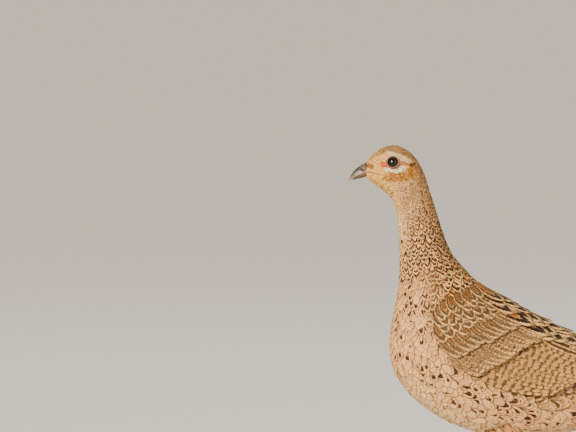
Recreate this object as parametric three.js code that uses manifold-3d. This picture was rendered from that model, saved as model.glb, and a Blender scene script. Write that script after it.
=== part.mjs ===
// A hen common pheasant, life size, standing alert with her neck drawn up.
// Millimetres, +Z up. She faces -X, her left side is towards -Y, and the floor is at z = 0.
import * as THREE from 'three';
import { LoftGeometry } from 'three/addons/geometries/LoftGeometry.js';
import { mergeVertices } from 'three/addons/utils/BufferGeometryUtils.js';
import Module from 'manifold-3d';

const wasm = await Module();
wasm.setup();

// Driving dimensions
const gap = 0.3; // between parts that touch
const shortestEdge = 0.05;
const vaneThickness = 0.6;
const layerStep = 0.95; // from one vane to the vane that lies on it
const tipWidth = 0.4; // half a vane's width at its tip
const wingClearance = 0.9; // from the body to the wing's bed
const eyeballRadius = 6.2;
const eyeCentre = new THREE.Vector3(-89, 9.0, 379.6);
const gazeDirection = new THREE.Vector3(-0.12, 0.95, 0.22).normalize();
const lidReach = 5; // from the eye's centre out to the rim of the lids
const footSpread = 27; // from the middle plane to each foot
const ankleX = 22; // where the shank stands on the toes
const heelX = 38;
const heelZ = 68;
const kneeX = 6;
const kneeZ = 150;
const tailSlope = 20; // degrees, down towards the tip

// The body's outline from the bill's root to the tail's root: points on the back, points on the
// belly, half the width there, and how much wider the back's half is than the belly's.
const stations = [
  { back: [-112.8, 380.6], belly: [-114.4, 366.0], half: 6.2, lean: 0 },
  { back: [-106.0, 388.0], belly: [-108.0, 360.6], half: 10.4, lean: 0 },
  { back: [-97.0, 393.3], belly: [-99.5, 354.2], half: 13.2, lean: 0.06 },
  { back: [-86.5, 394.8], belly: [-93.5, 349.2], half: 14.6, lean: 0.1 },
  { back: [-75.5, 390.0], belly: [-89.6, 344.6], half: 14.8, lean: 0.06 },
  { back: [-66.8, 380.8], belly: [-87.6, 339.8], half: 14.2, lean: 0 },
  { back: [-60.3, 368.0], belly: [-86.2, 333.5], half: 13.6, lean: 0 },
  { back: [-55.3, 352.0], belly: [-84.9, 326.0], half: 13.8, lean: 0 },
  { back: [-50.0, 335.5], belly: [-83.8, 313.5], half: 15.0, lean: 0 },
  { back: [-44.2, 317.5], belly: [-83.0, 298.5], half: 17.0, lean: 0 },
  { back: [-36.5, 298.0], belly: [-83.1, 281.0], half: 20.5, lean: 0 },
  { back: [-26.5, 285.0], belly: [-84.9, 259.5], half: 26.5, lean: 0.02 },
  { back: [-14.5, 272.0], belly: [-89.6, 234.5], half: 33.5, lean: 0.04 },
  { back: [-2.0, 261.0], belly: [-92.4, 209.0], half: 39.5, lean: 0.04 },
  { back: [12.0, 251.0], belly: [-87.0, 184.5], half: 43.5, lean: 0.02 },
  { back: [28.0, 241.0], belly: [-70.0, 161.5], half: 46.0, lean: 0 },
  { back: [46.5, 230.5], belly: [-43.5, 142.5], half: 46.5, lean: 0 },
  { back: [67.0, 220.0], belly: [-9.0, 129.0], half: 45.0, lean: 0 },
  { back: [88.0, 210.0], belly: [28.0, 124.0], half: 41.5, lean: 0 },
  { back: [108.0, 200.5], belly: [65.0, 127.5], half: 35.5, lean: 0 },
  { back: [127.0, 191.5], belly: [98.0, 139.0], half: 28.0, lean: 0.04 },
  { back: [144.0, 183.5], belly: [126.0, 152.5], half: 20.0, lean: 0.08 },
  { back: [157.0, 177.5], belly: [147.0, 163.0], half: 13.0, lean: 0.1 },
];
const headEnd = 6; // the station where the head is parted from the neck
const neckStart = 6.05;
const neckEnd = 10.5; // and the neck from the torso
const torsoStart = 10.52;
const torsoEnd = stations.length - 1;
const tailStart = torsoEnd + 0.022;

const degrees = THREE.MathUtils.degToRad;
const lerp = THREE.MathUtils.lerp;
const smooth = THREE.MathUtils.smoothstep;

// A value between stations, on a smooth curve through four of them.
function along(read, t) {
  const i = Math.min(Math.max(Math.floor(t), 0), stations.length - 2);
  const at = (k) => {
    if (k < 0) return 2 * read(stations[0]) - read(stations[1]);
    if (k > torsoEnd) return 2 * read(stations[torsoEnd]) - read(stations[torsoEnd - 1]);
    return read(stations[k]);
  };
  const f = t - i;
  const [a, b, c, d] = [at(i - 1), at(i), at(i + 1), at(i + 2)];
  return b + 0.5 * f * (c - a + f * (2 * a - 5 * b + 4 * c - d + f * (3 * (b - c) + d - a)));
}

// A point of the coat's outer surface. The angle runs from 0 on the back over +Y to pi on the belly.
function skinPoint(t, angle) {
  const backX = along((s) => s.back[0], t);
  const backZ = along((s) => s.back[1], t);
  const bellyX = along((s) => s.belly[0], t);
  const bellyZ = along((s) => s.belly[1], t);
  const up = Math.cos(angle);
  return new THREE.Vector3(
    (backX + bellyX) / 2 + (up * (backX - bellyX)) / 2,
    along((s) => s.half, t) * Math.sin(angle) * (1 + along((s) => s.lean, t) * up),
    (backZ + bellyZ) / 2 + (up * (backZ - bellyZ)) / 2,
  );
}

// The surface's two edge directions and its outward normal at a point.
function skinFrame(t, angle) {
  const step = 0.01;
  const alongBody = skinPoint(t + step, angle).sub(skinPoint(t - step, angle)).divideScalar(2 * step);
  const aroundBody = skinPoint(t, angle + step).sub(skinPoint(t, angle - step)).divideScalar(2 * step);
  const normal = new THREE.Vector3().crossVectors(alongBody, aroundBody).normalize();
  return { alongBody, aroundBody, normal };
}

// A point lifted off the surface.
function liftedPoint(t, angle, lift) {
  return skinPoint(t, angle).addScaledVector(skinFrame(t, angle).normal, lift);
}

// Walks over the surface. A heading of 0 runs tailwards, and a positive one turns to the belly.
function walk(start, heading, distance, steps) {
  let { t, angle } = start;
  const path = [{ t, angle }];
  for (let i = 0; i < steps; i++) {
    const { alongBody, aroundBody, normal } = skinFrame(t, angle);
    const ahead = alongBody.clone().normalize();
    const down = new THREE.Vector3().crossVectors(normal, ahead);
    const move = ahead
      .multiplyScalar(Math.cos(heading))
      .addScaledVector(down, Math.sin(heading))
      .multiplyScalar(distance / steps);
    const [aa, ab, bb] = [alongBody.dot(alongBody), alongBody.dot(aroundBody), aroundBody.dot(aroundBody)];
    const [ma, mb] = [move.dot(alongBody), move.dot(aroundBody)];
    const whole = aa * bb - ab * ab;
    t += (ma * bb - mb * ab) / whole;
    angle += (mb * aa - ma * ab) / whole;
    path.push({ t, angle });
  }
  return path;
}

// A closed geometry as a solid whose faces point outwards.
function solidOf(geometry) {
  const bare = new THREE.BufferGeometry().setAttribute('position', geometry.getAttribute('position'));
  bare.setIndex(geometry.getIndex());
  const merged = mergeVertices(bare, 1e-4);
  const index = merged.getIndex().array;
  const triVerts = [];
  for (let i = 0; i < index.length; i += 3) {
    const [a, b, c] = [index[i], index[i + 1], index[i + 2]];
    if (a !== b && b !== c && c !== a) triVerts.push(a, b, c);
  }
  return new wasm.Manifold(
    new wasm.Mesh({
      numProp: 3,
      vertProperties: new Float32Array(merged.getAttribute('position').array),
      triVerts: new Uint32Array(triVerts),
    }),
  );
}

// Joins solids, clears edges too short to print, and keeps the largest closed body.
function joined(solids) {
  const bodies = wasm.Manifold.union(solids).simplify(shortestEdge).decompose();
  return bodies.reduce((best, body) => (body.volume() > best.volume() ? body : best));
}

// The same solid on the other side of the bird.
function mirrored(solid) {
  return solid.mirror([0, 1, 0]);
}

function bothSides(solid) {
  return [solid, mirrored(solid)];
}

// Skins a row of rings, whichever way round the rings run.
function loft(sections) {
  const [first, second] = sections;
  const turn = new THREE.Vector3();
  first.forEach((point, i) => {
    const next = first[(i + 1) % first.length];
    turn.add(new THREE.Vector3().crossVectors(point.clone().sub(first[0]), next.clone().sub(first[0])));
  });
  const middle = (ring) =>
    ring.reduce((sum, point) => sum.add(point), new THREE.Vector3()).divideScalar(ring.length);
  const backwards = turn.dot(middle(second).sub(middle(first))) < 0;
  const rings = backwards ? sections.map((ring) => ring.slice().reverse()) : sections;
  return solidOf(new LoftGeometry(rings, { capStart: true, capEnd: true }));
}

// A stretch of the body between two stations.
function bodyStretch(from, to, rings, around, grow = 0) {
  const sections = [];
  for (let i = 0; i <= rings; i++) {
    const t = lerp(from, to, i / rings);
    const section = [];
    for (let j = 0; j < around; j++) {
      const angle = (2 * Math.PI * j) / around;
      section.push(grow ? liftedPoint(t, angle, grow) : skinPoint(t, angle));
    }
    sections.push(section);
  }
  return loft(sections);
}

// A tube through points, whose radius is read along it. Flatten squeezes it from top to bottom.
function tube(points, radiusAt, rings, sides, flatten = 1) {
  const curve = new THREE.CatmullRomCurve3(points);
  const sections = [];
  for (let i = 0; i <= rings; i++) {
    const u = i / rings;
    const centre = curve.getPoint(u);
    const ahead = curve.getTangent(u);
    const side = new THREE.Vector3(0, 1, 0).projectOnPlane(ahead).normalize();
    const top = new THREE.Vector3().crossVectors(ahead, side);
    const section = [];
    for (let j = 0; j < sides; j++) {
      const angle = (2 * Math.PI * (j + 0.5)) / sides;
      const point = centre.clone();
      point.addScaledVector(side, radiusAt(u) * Math.cos(angle));
      point.addScaledVector(top, radiusAt(u) * flatten * Math.sin(angle));
      section.push(point);
    }
    sections.push(section);
  }
  return loft(sections);
}

// A thin plate between an upper and a lower grid of points, split alike on both faces.
function plate(upper, lower) {
  const rows = upper.length;
  const columns = upper[0].length;
  const positions = [...upper.flat(), ...lower.flat()].flatMap((point) => point.toArray());
  const top = (i, j) => i * columns + j;
  const under = (i, j) => (rows + i) * columns + j;
  const index = [];
  const wall = (a, b, c, d) => index.push(a, b, d, b, c, d);
  for (let i = 0; i < rows - 1; i++) {
    for (let j = 0; j < columns - 1; j++) {
      wall(top(i, j), top(i, j + 1), top(i + 1, j + 1), top(i + 1, j));
      index.push(under(i, j), under(i + 1, j), under(i, j + 1));
      index.push(under(i, j + 1), under(i + 1, j), under(i + 1, j + 1));
    }
    wall(top(i, 0), top(i + 1, 0), under(i + 1, 0), under(i, 0));
    const last = columns - 1;
    wall(top(i + 1, last), top(i, last), under(i, last), under(i + 1, last));
  }
  for (let j = 0; j < columns - 1; j++) {
    const last = rows - 1;
    wall(top(0, j + 1), top(0, j), under(0, j), under(0, j + 1));
    wall(top(last, j), top(last, j + 1), under(last, j + 1), under(last, j));
  }
  const up = upper[0][0].clone().sub(lower[0][0]);
  const alongRow = upper[0][columns - 1].clone().sub(upper[0][0]);
  const alongColumn = upper[1][0].clone().sub(upper[0][0]);
  if (alongRow.cross(alongColumn).dot(up) < 0) index.reverse();
  const geometry = new THREE.BufferGeometry();
  geometry.setAttribute('position', new THREE.Float32BufferAttribute(positions, 3));
  geometry.setIndex(index);
  return solidOf(geometry);
}

// Head: the front stretch of the body, with sockets, lids and a seat for the mouth's corners.
const mouthFront = { t: -0.1, angle: degrees(108) };
const mouthCorner = { t: 1.7, angle: degrees(107) };

// A strip along the mouth from the bill to the corner, from a depth in the head out over its surface.
function mouthStrip(halfHeight, depth, lift) {
  const upper = [];
  const lower = [];
  const rows = 4;
  for (let i = 0; i <= rows; i++) {
    const u = i / rows;
    const t = lerp(mouthFront.t, mouthCorner.t, u);
    const angle = lerp(mouthFront.angle, mouthCorner.angle, u);
    const { aroundBody, normal } = skinFrame(t, angle);
    const down = aroundBody.clone().normalize();
    const half = halfHeight * lerp(1, 0.4, u);
    const line = [-half, half].map((side) => skinPoint(t, angle).addScaledVector(down, side));
    upper.push(line.map((point) => point.clone().addScaledVector(normal, lift)));
    lower.push(line.map((point) => point.clone().addScaledVector(normal, -depth)));
  }
  return plate(upper, lower);
}

function eyeSphere(radius, around, rows) {
  const ball = new THREE.SphereGeometry(radius, around, rows);
  const turn = new THREE.Quaternion().setFromUnitVectors(new THREE.Vector3(0, 1, 0), gazeDirection);
  return solidOf(ball.applyQuaternion(turn).translate(eyeCentre.x, eyeCentre.y, eyeCentre.z));
}

function lidRing() {
  const ring = new THREE.TorusGeometry(5.3, 0.9, 5, 16);
  const turn = new THREE.Quaternion().setFromUnitVectors(new THREE.Vector3(0, 0, 1), gazeDirection);
  const seat = eyeCentre.clone().addScaledVector(gazeDirection, lidReach);
  return solidOf(ring.applyQuaternion(turn).translate(seat.x, seat.y, seat.z));
}

function headSolid() {
  const whole = joined([
    bodyStretch(0, headEnd, 13, 26),
    ...bothSides(lidRing()),
  ]);
  const cuts = [
    ...bothSides(eyeSphere(eyeballRadius + gap + 0.1, 14, 8)),
    ...bothSides(mouthStrip(0.8 + gap, 1.2 + gap, 3)),
  ];
  return joined([whole.subtract(wasm.Manifold.union(cuts))]);
}

// Bill: the line of its ridge, the line of its cutting edge, and half its width there.
const upperBill = [
  { ridge: [-113.2, 380.1], edge: [-114.4, 370.4], half: 5.9 },
  { ridge: [-116.6, 377.6], edge: [-117.6, 368.8], half: 5.2 },
  { ridge: [-120.9, 375.1], edge: [-120.9, 367.5], half: 4.3 },
  { ridge: [-124.9, 371.7], edge: [-124.3, 365.9], half: 3.2 },
  { ridge: [-127.9, 367.4], edge: [-127.2, 364.1], half: 2.1 },
  { ridge: [-129.6, 364.3], edge: [-129.1, 362.7], half: 1.1 },
  { ridge: [-130.4, 362.3], edge: [-130.3, 361.8], half: 0.3 },
];
const lowerBill = [
  { ridge: [-114.9, 366.2], edge: [-114.5, 370.0], half: 5.4 },
  { ridge: [-118.0, 364.9], edge: [-117.6, 368.4], half: 4.5 },
  { ridge: [-121.6, 364.2], edge: [-120.9, 367.1], half: 3.4 },
  { ridge: [-124.7, 363.4], edge: [-124.3, 365.4], half: 2.2 },
  { ridge: [-126.7, 363.2], edge: [-126.5, 363.8], half: 0.8 },
];

// Each ring is half an ellipse over the cutting edge.
function hornSolid(rings, around) {
  const sections = rings.map(({ ridge, edge, half }) => {
    const section = [];
    for (let j = 0; j < around; j++) {
      const angle = Math.PI * (j / (around - 1) - 0.5);
      const up = Math.cos(angle);
      const [x, z] = [lerp(edge[0], ridge[0], up), lerp(edge[1], ridge[1], up)];
      section.push(new THREE.Vector3(x, half * Math.sin(angle), z));
    }
    return section;
  });
  return loft(sections);
}

// The swollen scale over each nostril, and the slit under it.
function nostrilScale() {
  const swell = new THREE.SphereGeometry(1, 10, 6).scale(3.4, 1.5, 2.2).rotateY(degrees(-35));
  return solidOf(swell.translate(-116.4, 4.1, 375));
}

function nostrilSlit() {
  const slit = new THREE.SphereGeometry(1, 8, 4).scale(2.1, 1.7, 0.6).rotateY(degrees(-25));
  return solidOf(slit.translate(-117.4, 5.9, 372.6));
}

function upperBillSolid() {
  const [front, rear] = [skinPoint(0, 0), skinPoint(0, Math.PI)];
  const outward = new THREE.Vector3(0, 1, 0).cross(rear.sub(front)).normalize();
  if (outward.x > 0) outward.negate();
  const seat = outward.dot(front) + gap;
  const horn = joined([hornSolid(upperBill, 13), ...bothSides(nostrilScale())]);
  const seated = horn.subtract(wasm.Manifold.union(bothSides(nostrilSlit()))).trimByPlane(outward.toArray(), seat);
  return joined([seated, ...bothSides(mouthStrip(0.8, 1.2, 0.35))]);
}

// Legs. The bare shank rises from the toes to the heel and on to the feathered thigh.
const ankle = new THREE.Vector3(ankleX, footSpread, 6);
const heel = new THREE.Vector3(heelX, footSpread, heelZ);
const knee = new THREE.Vector3(kneeX, footSpread - 6, kneeZ);
const thighStart = 10; // above the heel
const footTop = 15; // above the floor

function thighSolid(torsoRoom) {
  const up = knee.clone().sub(heel).normalize();
  const points = [thighStart, 28, 50, 84].map((reach) => heel.clone().addScaledVector(up, reach));
  const thigh = tube(points, (u) => lerp(5.6, 15, Math.pow(u, 0.75)), 8, 16, 1.3);
  return joined([thigh.subtract(torsoRoom)]);
}

function shankSolid() {
  const up = knee.clone().sub(heel).normalize();
  const down = ankle.clone().sub(heel).normalize();
  const end = heel.clone().addScaledVector(down, (heelZ - footTop - gap) / -down.z);
  const points = [
    heel.clone().addScaledVector(up, thighStart - gap),
    heel.clone().addScaledVector(up, 4.5),
    heel.clone().addScaledVector(down, 2).addScaledVector(up, -0.5),
    heel.clone().addScaledVector(down, 10),
    heel.clone().lerp(end, 0.6),
    end,
  ];
  const radiusAt = (u) => {
    const scutes = u > 0.42 ? 0.16 * Math.cos(u * 90) : 0;
    return 3.3 + 1.5 * Math.exp(-Math.pow((u - 0.33) / 0.13, 2)) + 0.5 * smooth(u, 0.8, 1) + scutes;
  };
  return tube(points, radiusAt, 20, 8, 1.12).trimByPlane([0, 0, 1], footTop + gap);
}

const toes = [
  { name: 'inner', turn: 30, length: 27 },
  { name: 'middle', turn: -3, length: 37 },
  { name: 'outer', turn: -36, length: 28 },
];
const clawLength = 9;

function toePath(toe) {
  const yaw = degrees(toe.turn);
  const ahead = new THREE.Vector3(-Math.cos(yaw), -Math.sin(yaw), 0);
  const at = (reach, z) => new THREE.Vector3(ankleX, footSpread, z).addScaledVector(ahead, reach);
  return { ahead, at };
}

function toeSolid(toe) {
  const { at } = toePath(toe);
  const points = [at(-2, 5), at(6, 4), at(toe.length * 0.6, 2.7), at(toe.length, 2.1)];
  const radiusAt = (u) => lerp(3.6, 2, u) + 0.2 * Math.cos(u * 6 * Math.PI);
  return tube(points, radiusAt, 7, 7, 1);
}

function clawSolid(toe) {
  const { ahead, at } = toePath(toe);
  const start = toe.length + gap;
  const points = [at(start, 2.2), at(start + 3.5, 2.6), at(start + clawLength - 2, 1.9), at(start + clawLength, 0.9)];
  const claw = tube(points, (u) => lerp(1.6, 0.35, Math.pow(u, 1.2)), 5, 7, 1);
  const face = ahead.dot(at(start, 0));
  return claw.trimByPlane(ahead.toArray(), face).trimByPlane([0, 0, 1], 0.15);
}

const hindToe = [
  new THREE.Vector3(ankleX + 1, footSpread - 1.5, 10.5),
  new THREE.Vector3(ankleX + 7, footSpread - 3, 9.4),
  new THREE.Vector3(ankleX + 13, footSpread - 4, 6.6),
];

function hindClawSolid() {
  const tip = hindToe[2];
  const ahead = tip.clone().sub(hindToe[1]).normalize();
  const at = (reach, drop) => tip.clone().addScaledVector(ahead, reach).add(new THREE.Vector3(0, 0, -drop));
  const claw = tube([at(gap, 0), at(3, 0.1), at(6.5, 1)], (u) => lerp(1.4, 0.3, u), 4, 7, 1);
  return claw.trimByPlane(ahead.toArray(), ahead.dot(tip) + gap);
}

function footSolid() {
  const up = heel.clone().sub(ankle).normalize();
  const stub = [ankle.clone(), ankle.clone().addScaledVector(up, 5), ankle.clone().addScaledVector(up, 12)];
  const pad = new THREE.SphereGeometry(1, 12, 6).scale(7, 6, 4.4);
  const tip = hindToe[2];
  const hindAhead = hindToe[1].clone().sub(tip).normalize();
  const hind = tube(hindToe, (u) => lerp(2.4, 1.7, u), 4, 8, 1).trimByPlane(hindAhead.toArray(), hindAhead.dot(tip));
  const parts = [
    solidOf(pad.translate(ankleX - 1, footSpread, 3.9)),
    tube(stub, () => 3.9, 2, 10, 1.1),
    hind,
    ...toes.map((toe) => {
      const { ahead, at } = toePath(toe);
      const back = ahead.clone().negate();
      return toeSolid(toe).trimByPlane(back.toArray(), back.dot(at(toe.length, 0)));
    }),
  ];
  return joined(parts).trimByPlane([0, 0, 1], 0).trimByPlane([0, 0, -1], -footTop);
}

// One feather. Each row along it has a centre, the direction of its side and its upward normal,
// and inner and outer give how far its vane reaches to each side. The tilt raises the outer side.
function vane({ rows, inner, outer, tilt = 0, crown = 0 }) {
  const upper = [];
  const lower = [];
  rows.forEach(({ centre, side, normal }, i) => {
    const u = i / (rows.length - 1);
    const thick = vaneThickness * lerp(1, 0.6, u * u);
    const line = [-Math.max(inner(u), tipWidth), 0, Math.max(outer(u), tipWidth)].map((across) => {
      const rise = tilt * across - crown * across * across;
      return centre.clone().addScaledVector(side, across).addScaledVector(normal, rise);
    });
    upper.push(line.map((point) => point.clone().addScaledVector(normal, thick / 2)));
    lower.push(line.map((point) => point.clone().addScaledVector(normal, -thick / 2)));
  });
  return plate(upper, lower);
}

// How wide a vane is along its length: narrow at the quill, full, then drawn in to its tip.
// A low bluntness draws it in early to a point, and a high one keeps it full to a round tip.
function vaneOutline(half, bluntness) {
  return (u) => half * Math.min(1, 0.4 + 2.4 * u) * Math.sqrt(Math.max(1 - Math.pow(u, bluntness), 0));
}

// Tail. A fleshy root carries the feathers, which slope down behind the bird.
const tailRoot = new THREE.Vector3(156, 0, 171.5);
const tailAhead = new THREE.Vector3(Math.cos(degrees(tailSlope)), 0, -Math.sin(degrees(tailSlope)));
const tailUp = new THREE.Vector3(Math.sin(degrees(tailSlope)), 0, Math.cos(degrees(tailSlope)));
const tailLengths = [217, 207, 190, 170, 150, 131, 114, 99, 86];
const tailRoof = 0.2; // how fast the fan drops from the middle to each side
const tailDroop = 0.00014;

function tailPoint(reach, y, height) {
  const drooped = height - tailDroop * reach * reach;
  return tailRoot.clone().addScaledVector(tailAhead, reach).addScaledVector(tailUp, drooped).setY(y);
}

function tailCore() {
  const around = 14;
  const sections = [[]];
  for (let j = 0; j < around; j++) sections[0].push(skinPoint(tailStart, (2 * Math.PI * j) / around));
  const rings = [
    { reach: 9, middle: -3.6, width: 15, height: 8.4 },
    { reach: 22, middle: -4.8, width: 16, height: 7.2 },
    { reach: 36, middle: -5, width: 14.5, height: 4.6 },
    { reach: 47, middle: -5, width: 11, height: 1.8 },
  ];
  for (const { reach, middle, width, height } of rings) {
    const ring = [];
    for (let j = 0; j < around; j++) {
      const angle = (2 * Math.PI * j) / around;
      ring.push(tailPoint(reach, width * Math.sin(angle), middle + height * Math.cos(angle)));
    }
    sections.push(ring);
  }
  return loft(sections);
}

// A tail feather or covert: it leaves its root at y and turns out by the splay.
function tailVane({ start, y, splay, length, inner, outer, height, roof, crown = 0, bluntness = 3, rows = 4 }) {
  const side = Math.sign(y) || 1;
  const turn = degrees(splay) * side;
  const stops = Array.from({ length: rows + 1 }, (_, i) => Math.pow(i / rows, 0.85));
  const line = stops.map((u) => {
    const reach = start + u * length * Math.cos(turn);
    const across = y + u * length * Math.sin(turn);
    return {
      u,
      across,
      centre: tailPoint(reach, across, height - roof * Math.abs(across)),
      side: new THREE.Vector3(0, 1, 0),
      normal: tailUp,
    };
  });
  const outlineAt = (half) => (i) => vaneOutline(half, bluntness)(line[Math.round(i * rows)].u);
  const [innerAt, outerAt] = [outlineAt(inner), outlineAt(outer)];
  const room = (i) => Math.max(Math.abs(line[Math.round(i * rows)].across) - gap, tipWidth);
  const kept = roof > 0 ? (i) => Math.min(innerAt(i), room(i)) : innerAt;
  return vane({
    rows: line,
    inner: side > 0 ? kept : outerAt,
    outer: side > 0 ? outerAt : kept,
    tilt: -roof * side,
    crown,
  });
}

function tailSolid() {
  const vanes = [];
  tailLengths.forEach((length, i) => {
    for (const side of [-1, 1]) {
      const middlePair = i === 0;
      vanes.push(
        tailVane({
          start: 14 - i * 0.5,
          y: side * (1.2 + 1.2 * i),
          splay: 0.8 + 1.5 * i,
          length,
          inner: 11.5,
          outer: middlePair ? 11.5 : 8.5 - 0.2 * i,
          height: middlePair ? 0.5 - 0.5 * side * layerStep : -layerStep * i - 0.4,
          roof: middlePair ? 0 : tailRoof,
          crown: middlePair ? 0.004 : 0,
          bluntness: 2.6 + 0.25 * i,
          rows: i < 4 ? 4 : 3,
        }),
      );
    }
  });
  const coverts = [
    { start: 6, reach: 62, spread: [0, 6, 11], height: 4.3 },
    { start: 2, reach: 36, spread: [0, 6.5], height: 6.3 },
  ];
  for (const { start, reach, spread, height } of coverts) {
    spread.forEach((y, i) => {
      for (const side of y ? [-1, 1] : [1]) {
        vanes.push(
          tailVane({
            start,
            y: side * y,
            splay: 1.5 * i,
            length: reach - 9 * i,
            inner: 6.5,
            outer: 6.5,
            height: height - 0.8 * i,
            roof: 0,
            crown: 0.012,
            bluntness: 3,
            rows: 3,
          }),
        );
      }
    });
  }
  [0, 5.5, 10.5].forEach((y, i) => {
    for (const side of y ? [-1, 1] : [1]) {
      vanes.push(
        tailVane({
          start: 8,
          y: side * y,
          splay: 2 * i,
          length: 58 - 7 * i,
          inner: 6,
          outer: 6,
          height: -10.6 + 0.7 * i - 1.2 * (i > 0),
          roof: 0,
          bluntness: 3,
          rows: 3,
        }),
      );
    }
  });
  return joined([tailCore(), ...vanes]);
}

// Wing, folded on the flank. A low bed under the skin of feathers holds their roots.
function wingBed() {
  const upper = [];
  const lower = [];
  const rows = 6;
  const columns = 4;
  for (let i = 0; i <= rows; i++) {
    const u = i / rows;
    const t = lerp(12.5, 17.4, u);
    const above = degrees(lerp(27, 22, u));
    const below = degrees(lerp(82, 100, smooth(u, 0, 0.25)));
    const [top, under] = [[], []];
    for (let j = 0; j <= columns; j++) {
      const v = j / columns;
      const swell = smooth(u, -0.08, 0.16) * (1 - smooth(u, 0.62, 1)) * smooth(v, -0.12, 0.2) * smooth(1 - v, -0.12, 0.2);
      const angle = lerp(above, below, v);
      top.push(liftedPoint(t, angle, wingClearance + 0.6 + 2 * swell));
      under.push(liftedPoint(t, angle, wingClearance));
    }
    upper.push(top);
    lower.push(under);
  }
  return plate(upper, lower);
}

// A vane that walks over the flank from its root and rises as it goes.
function flankVane({ root, heading, length, half, lift, rise, tilt, bluntness = 5, rows = 3 }) {
  const path = walk(root, degrees(heading), length, rows * 3);
  const stops = Array.from({ length: rows + 1 }, (_, i) => path[i * 3]);
  const centres = stops.map(({ t, angle }, i) => liftedPoint(t, angle, lift + (rise * i) / rows));
  const line = stops.map(({ t, angle }, i) => {
    const ahead = centres[Math.min(i + 1, rows)].clone().sub(centres[Math.max(i - 1, 0)]).normalize();
    const { normal } = skinFrame(t, angle);
    const side = new THREE.Vector3().crossVectors(normal, ahead).normalize();
    return { centre: centres[i], side, normal: new THREE.Vector3().crossVectors(ahead, side) };
  });
  const outline = vaneOutline(half, bluntness);
  return vane({ rows: line, inner: outline, outer: outline, tilt, crown: 0.01 });
}

// The tiers of the wing, from the long flight feathers up to the small coverts of the shoulder. Each
// runs from its lowest feather to its highest: the roots' places, headings, lengths and half widths.
const wingTiers = [
  { name: 'primaries', count: 4, t: [16.3, 16.5], angle: [90, 58], heading: [-11, -6], length: [106, 128],
    half: 7, lift: 1.6, rise: 1.2, stack: 1.1, bluntness: 3.5, rows: 3 },
  { name: 'secondaries', count: 8, t: [15.2, 15.7], angle: [93, 38], heading: [-7, 1], length: [84, 92],
    half: 8.5, lift: 2.6, rise: 2.4, stack: 0.75, bluntness: 6, rows: 3 },
  { name: 'tertials', count: 3, t: [15.7, 15.9], angle: [31, 17], heading: [3, 5], length: [90, 82],
    half: 9, lift: 3, rise: 7.2, stack: 0.6, bluntness: 5, rows: 3 },
  { name: 'greater coverts', count: 8, t: [14.1, 14.5], angle: [95, 33], heading: [-5, 2], length: [40, 44],
    half: 7.6, lift: 2.3, rise: 3.2, stack: 0.2, bluntness: 6, rows: 3 },
  { name: 'median coverts', count: 7, t: [13.3, 13.7], angle: [92, 34], heading: [-3, 2], length: [29, 31],
    half: 7.6, lift: 2.2, rise: 3, stack: 0.1, bluntness: 5, rows: 2 },
  { name: 'lesser coverts', count: 6, t: [12.7, 13], angle: [86, 34], heading: [0, 2], length: [24, 25],
    half: 7.4, lift: 2.2, rise: 3, stack: 0.05, bluntness: 5, rows: 2 },
  { name: 'scapulars', count: 5, t: [15.6, 12.7], angle: [18, 25], heading: [4, 7], length: [58, 44],
    half: 9, lift: 3.8, rise: 4.2, stack: 0, tilt: 0, bluntness: 4, rows: 2 },
];

function wingSolid() {
  const vanes = [wingBed()];
  for (const tier of wingTiers) {
    const between = (pair, u) => lerp(pair[0], pair[1], u);
    const spacing = skinPoint(tier.t[0], degrees(tier.angle[0])).distanceTo(
      skinPoint(tier.t[1], degrees(tier.angle[1])),
    ) / (tier.count - 1);
    for (let i = 0; i < tier.count; i++) {
      const u = i / (tier.count - 1);
      vanes.push(
        flankVane({
          root: { t: between(tier.t, u), angle: degrees(between(tier.angle, u)) },
          heading: between(tier.heading, u),
          length: between(tier.length, u),
          half: tier.half,
          lift: tier.lift,
          rise: tier.rise + tier.stack * i,
          tilt: tier.tilt ?? layerStep / spacing,
          bluntness: tier.bluntness,
          rows: tier.rows,
        }),
      );
    }
  }
  return joined(vanes);
}

const finishes = {
  coat: { color: 0xc99c6a, roughness: 0.9 },
  wing: { color: 0xa97c4e, roughness: 0.85 },
  tail: { color: 0x9c7448, roughness: 0.85 },
  horn: { color: 0x6f5b50, roughness: 0.45 },
  eye: { color: 0x2a140c, roughness: 0.1 },
  leg: { color: 0x8a8078, roughness: 0.6 },
  claw: { color: 0x4a4038, roughness: 0.5 },
};
const pheasant = new THREE.Group();

function addPart(name, solid, finish) {
  const mesh = solid.getMesh();
  const geometry = new THREE.BufferGeometry();
  geometry.setAttribute('position', new THREE.BufferAttribute(mesh.vertProperties, 3));
  geometry.setIndex(new THREE.BufferAttribute(mesh.triVerts, 1));
  const part = new THREE.Mesh(geometry, new THREE.MeshStandardMaterial({ metalness: 0, ...finishes[finish] }));
  part.name = name;
  pheasant.add(part);
}

function addPair(name, solid, finish) {
  addPart(name.replace('*', 'right'), solid, finish);
  addPart(name.replace('*', 'left'), mirrored(solid), finish);
}

addPart('head', headSolid(), 'coat');
addPart('neck', bodyStretch(neckStart, neckEnd, 8, 28), 'coat');
addPart('torso', bodyStretch(torsoStart, torsoEnd, 20, 28), 'coat');
addPart('tail', tailSolid(), 'tail');
addPart('bill_upper', upperBillSolid(), 'horn');
addPart('bill_lower', hornSolid(lowerBill, 11), 'horn');
addPair('eye_*', eyeSphere(eyeballRadius, 16, 10), 'eye');
addPair('wing_*', wingSolid(), 'wing');
addPair('thigh_*', thighSolid(bodyStretch(torsoStart, torsoEnd, 20, 28, gap + 0.05)), 'coat');
addPair('shank_*', shankSolid(), 'leg');
addPair('foot_*', footSolid(), 'leg');
for (const toe of toes) addPair(`claw_*_${toe.name}`, clawSolid(toe), 'claw');
addPair('claw_*_hind', hindClawSolid(), 'claw');

// The origin is on the floor, midway between the bill's tip and the tail's.
const box = new THREE.Box3().setFromObject(pheasant);
for (const part of pheasant.children) part.geometry.translate(-(box.min.x + box.max.x) / 2, 0, -box.min.z);

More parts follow.
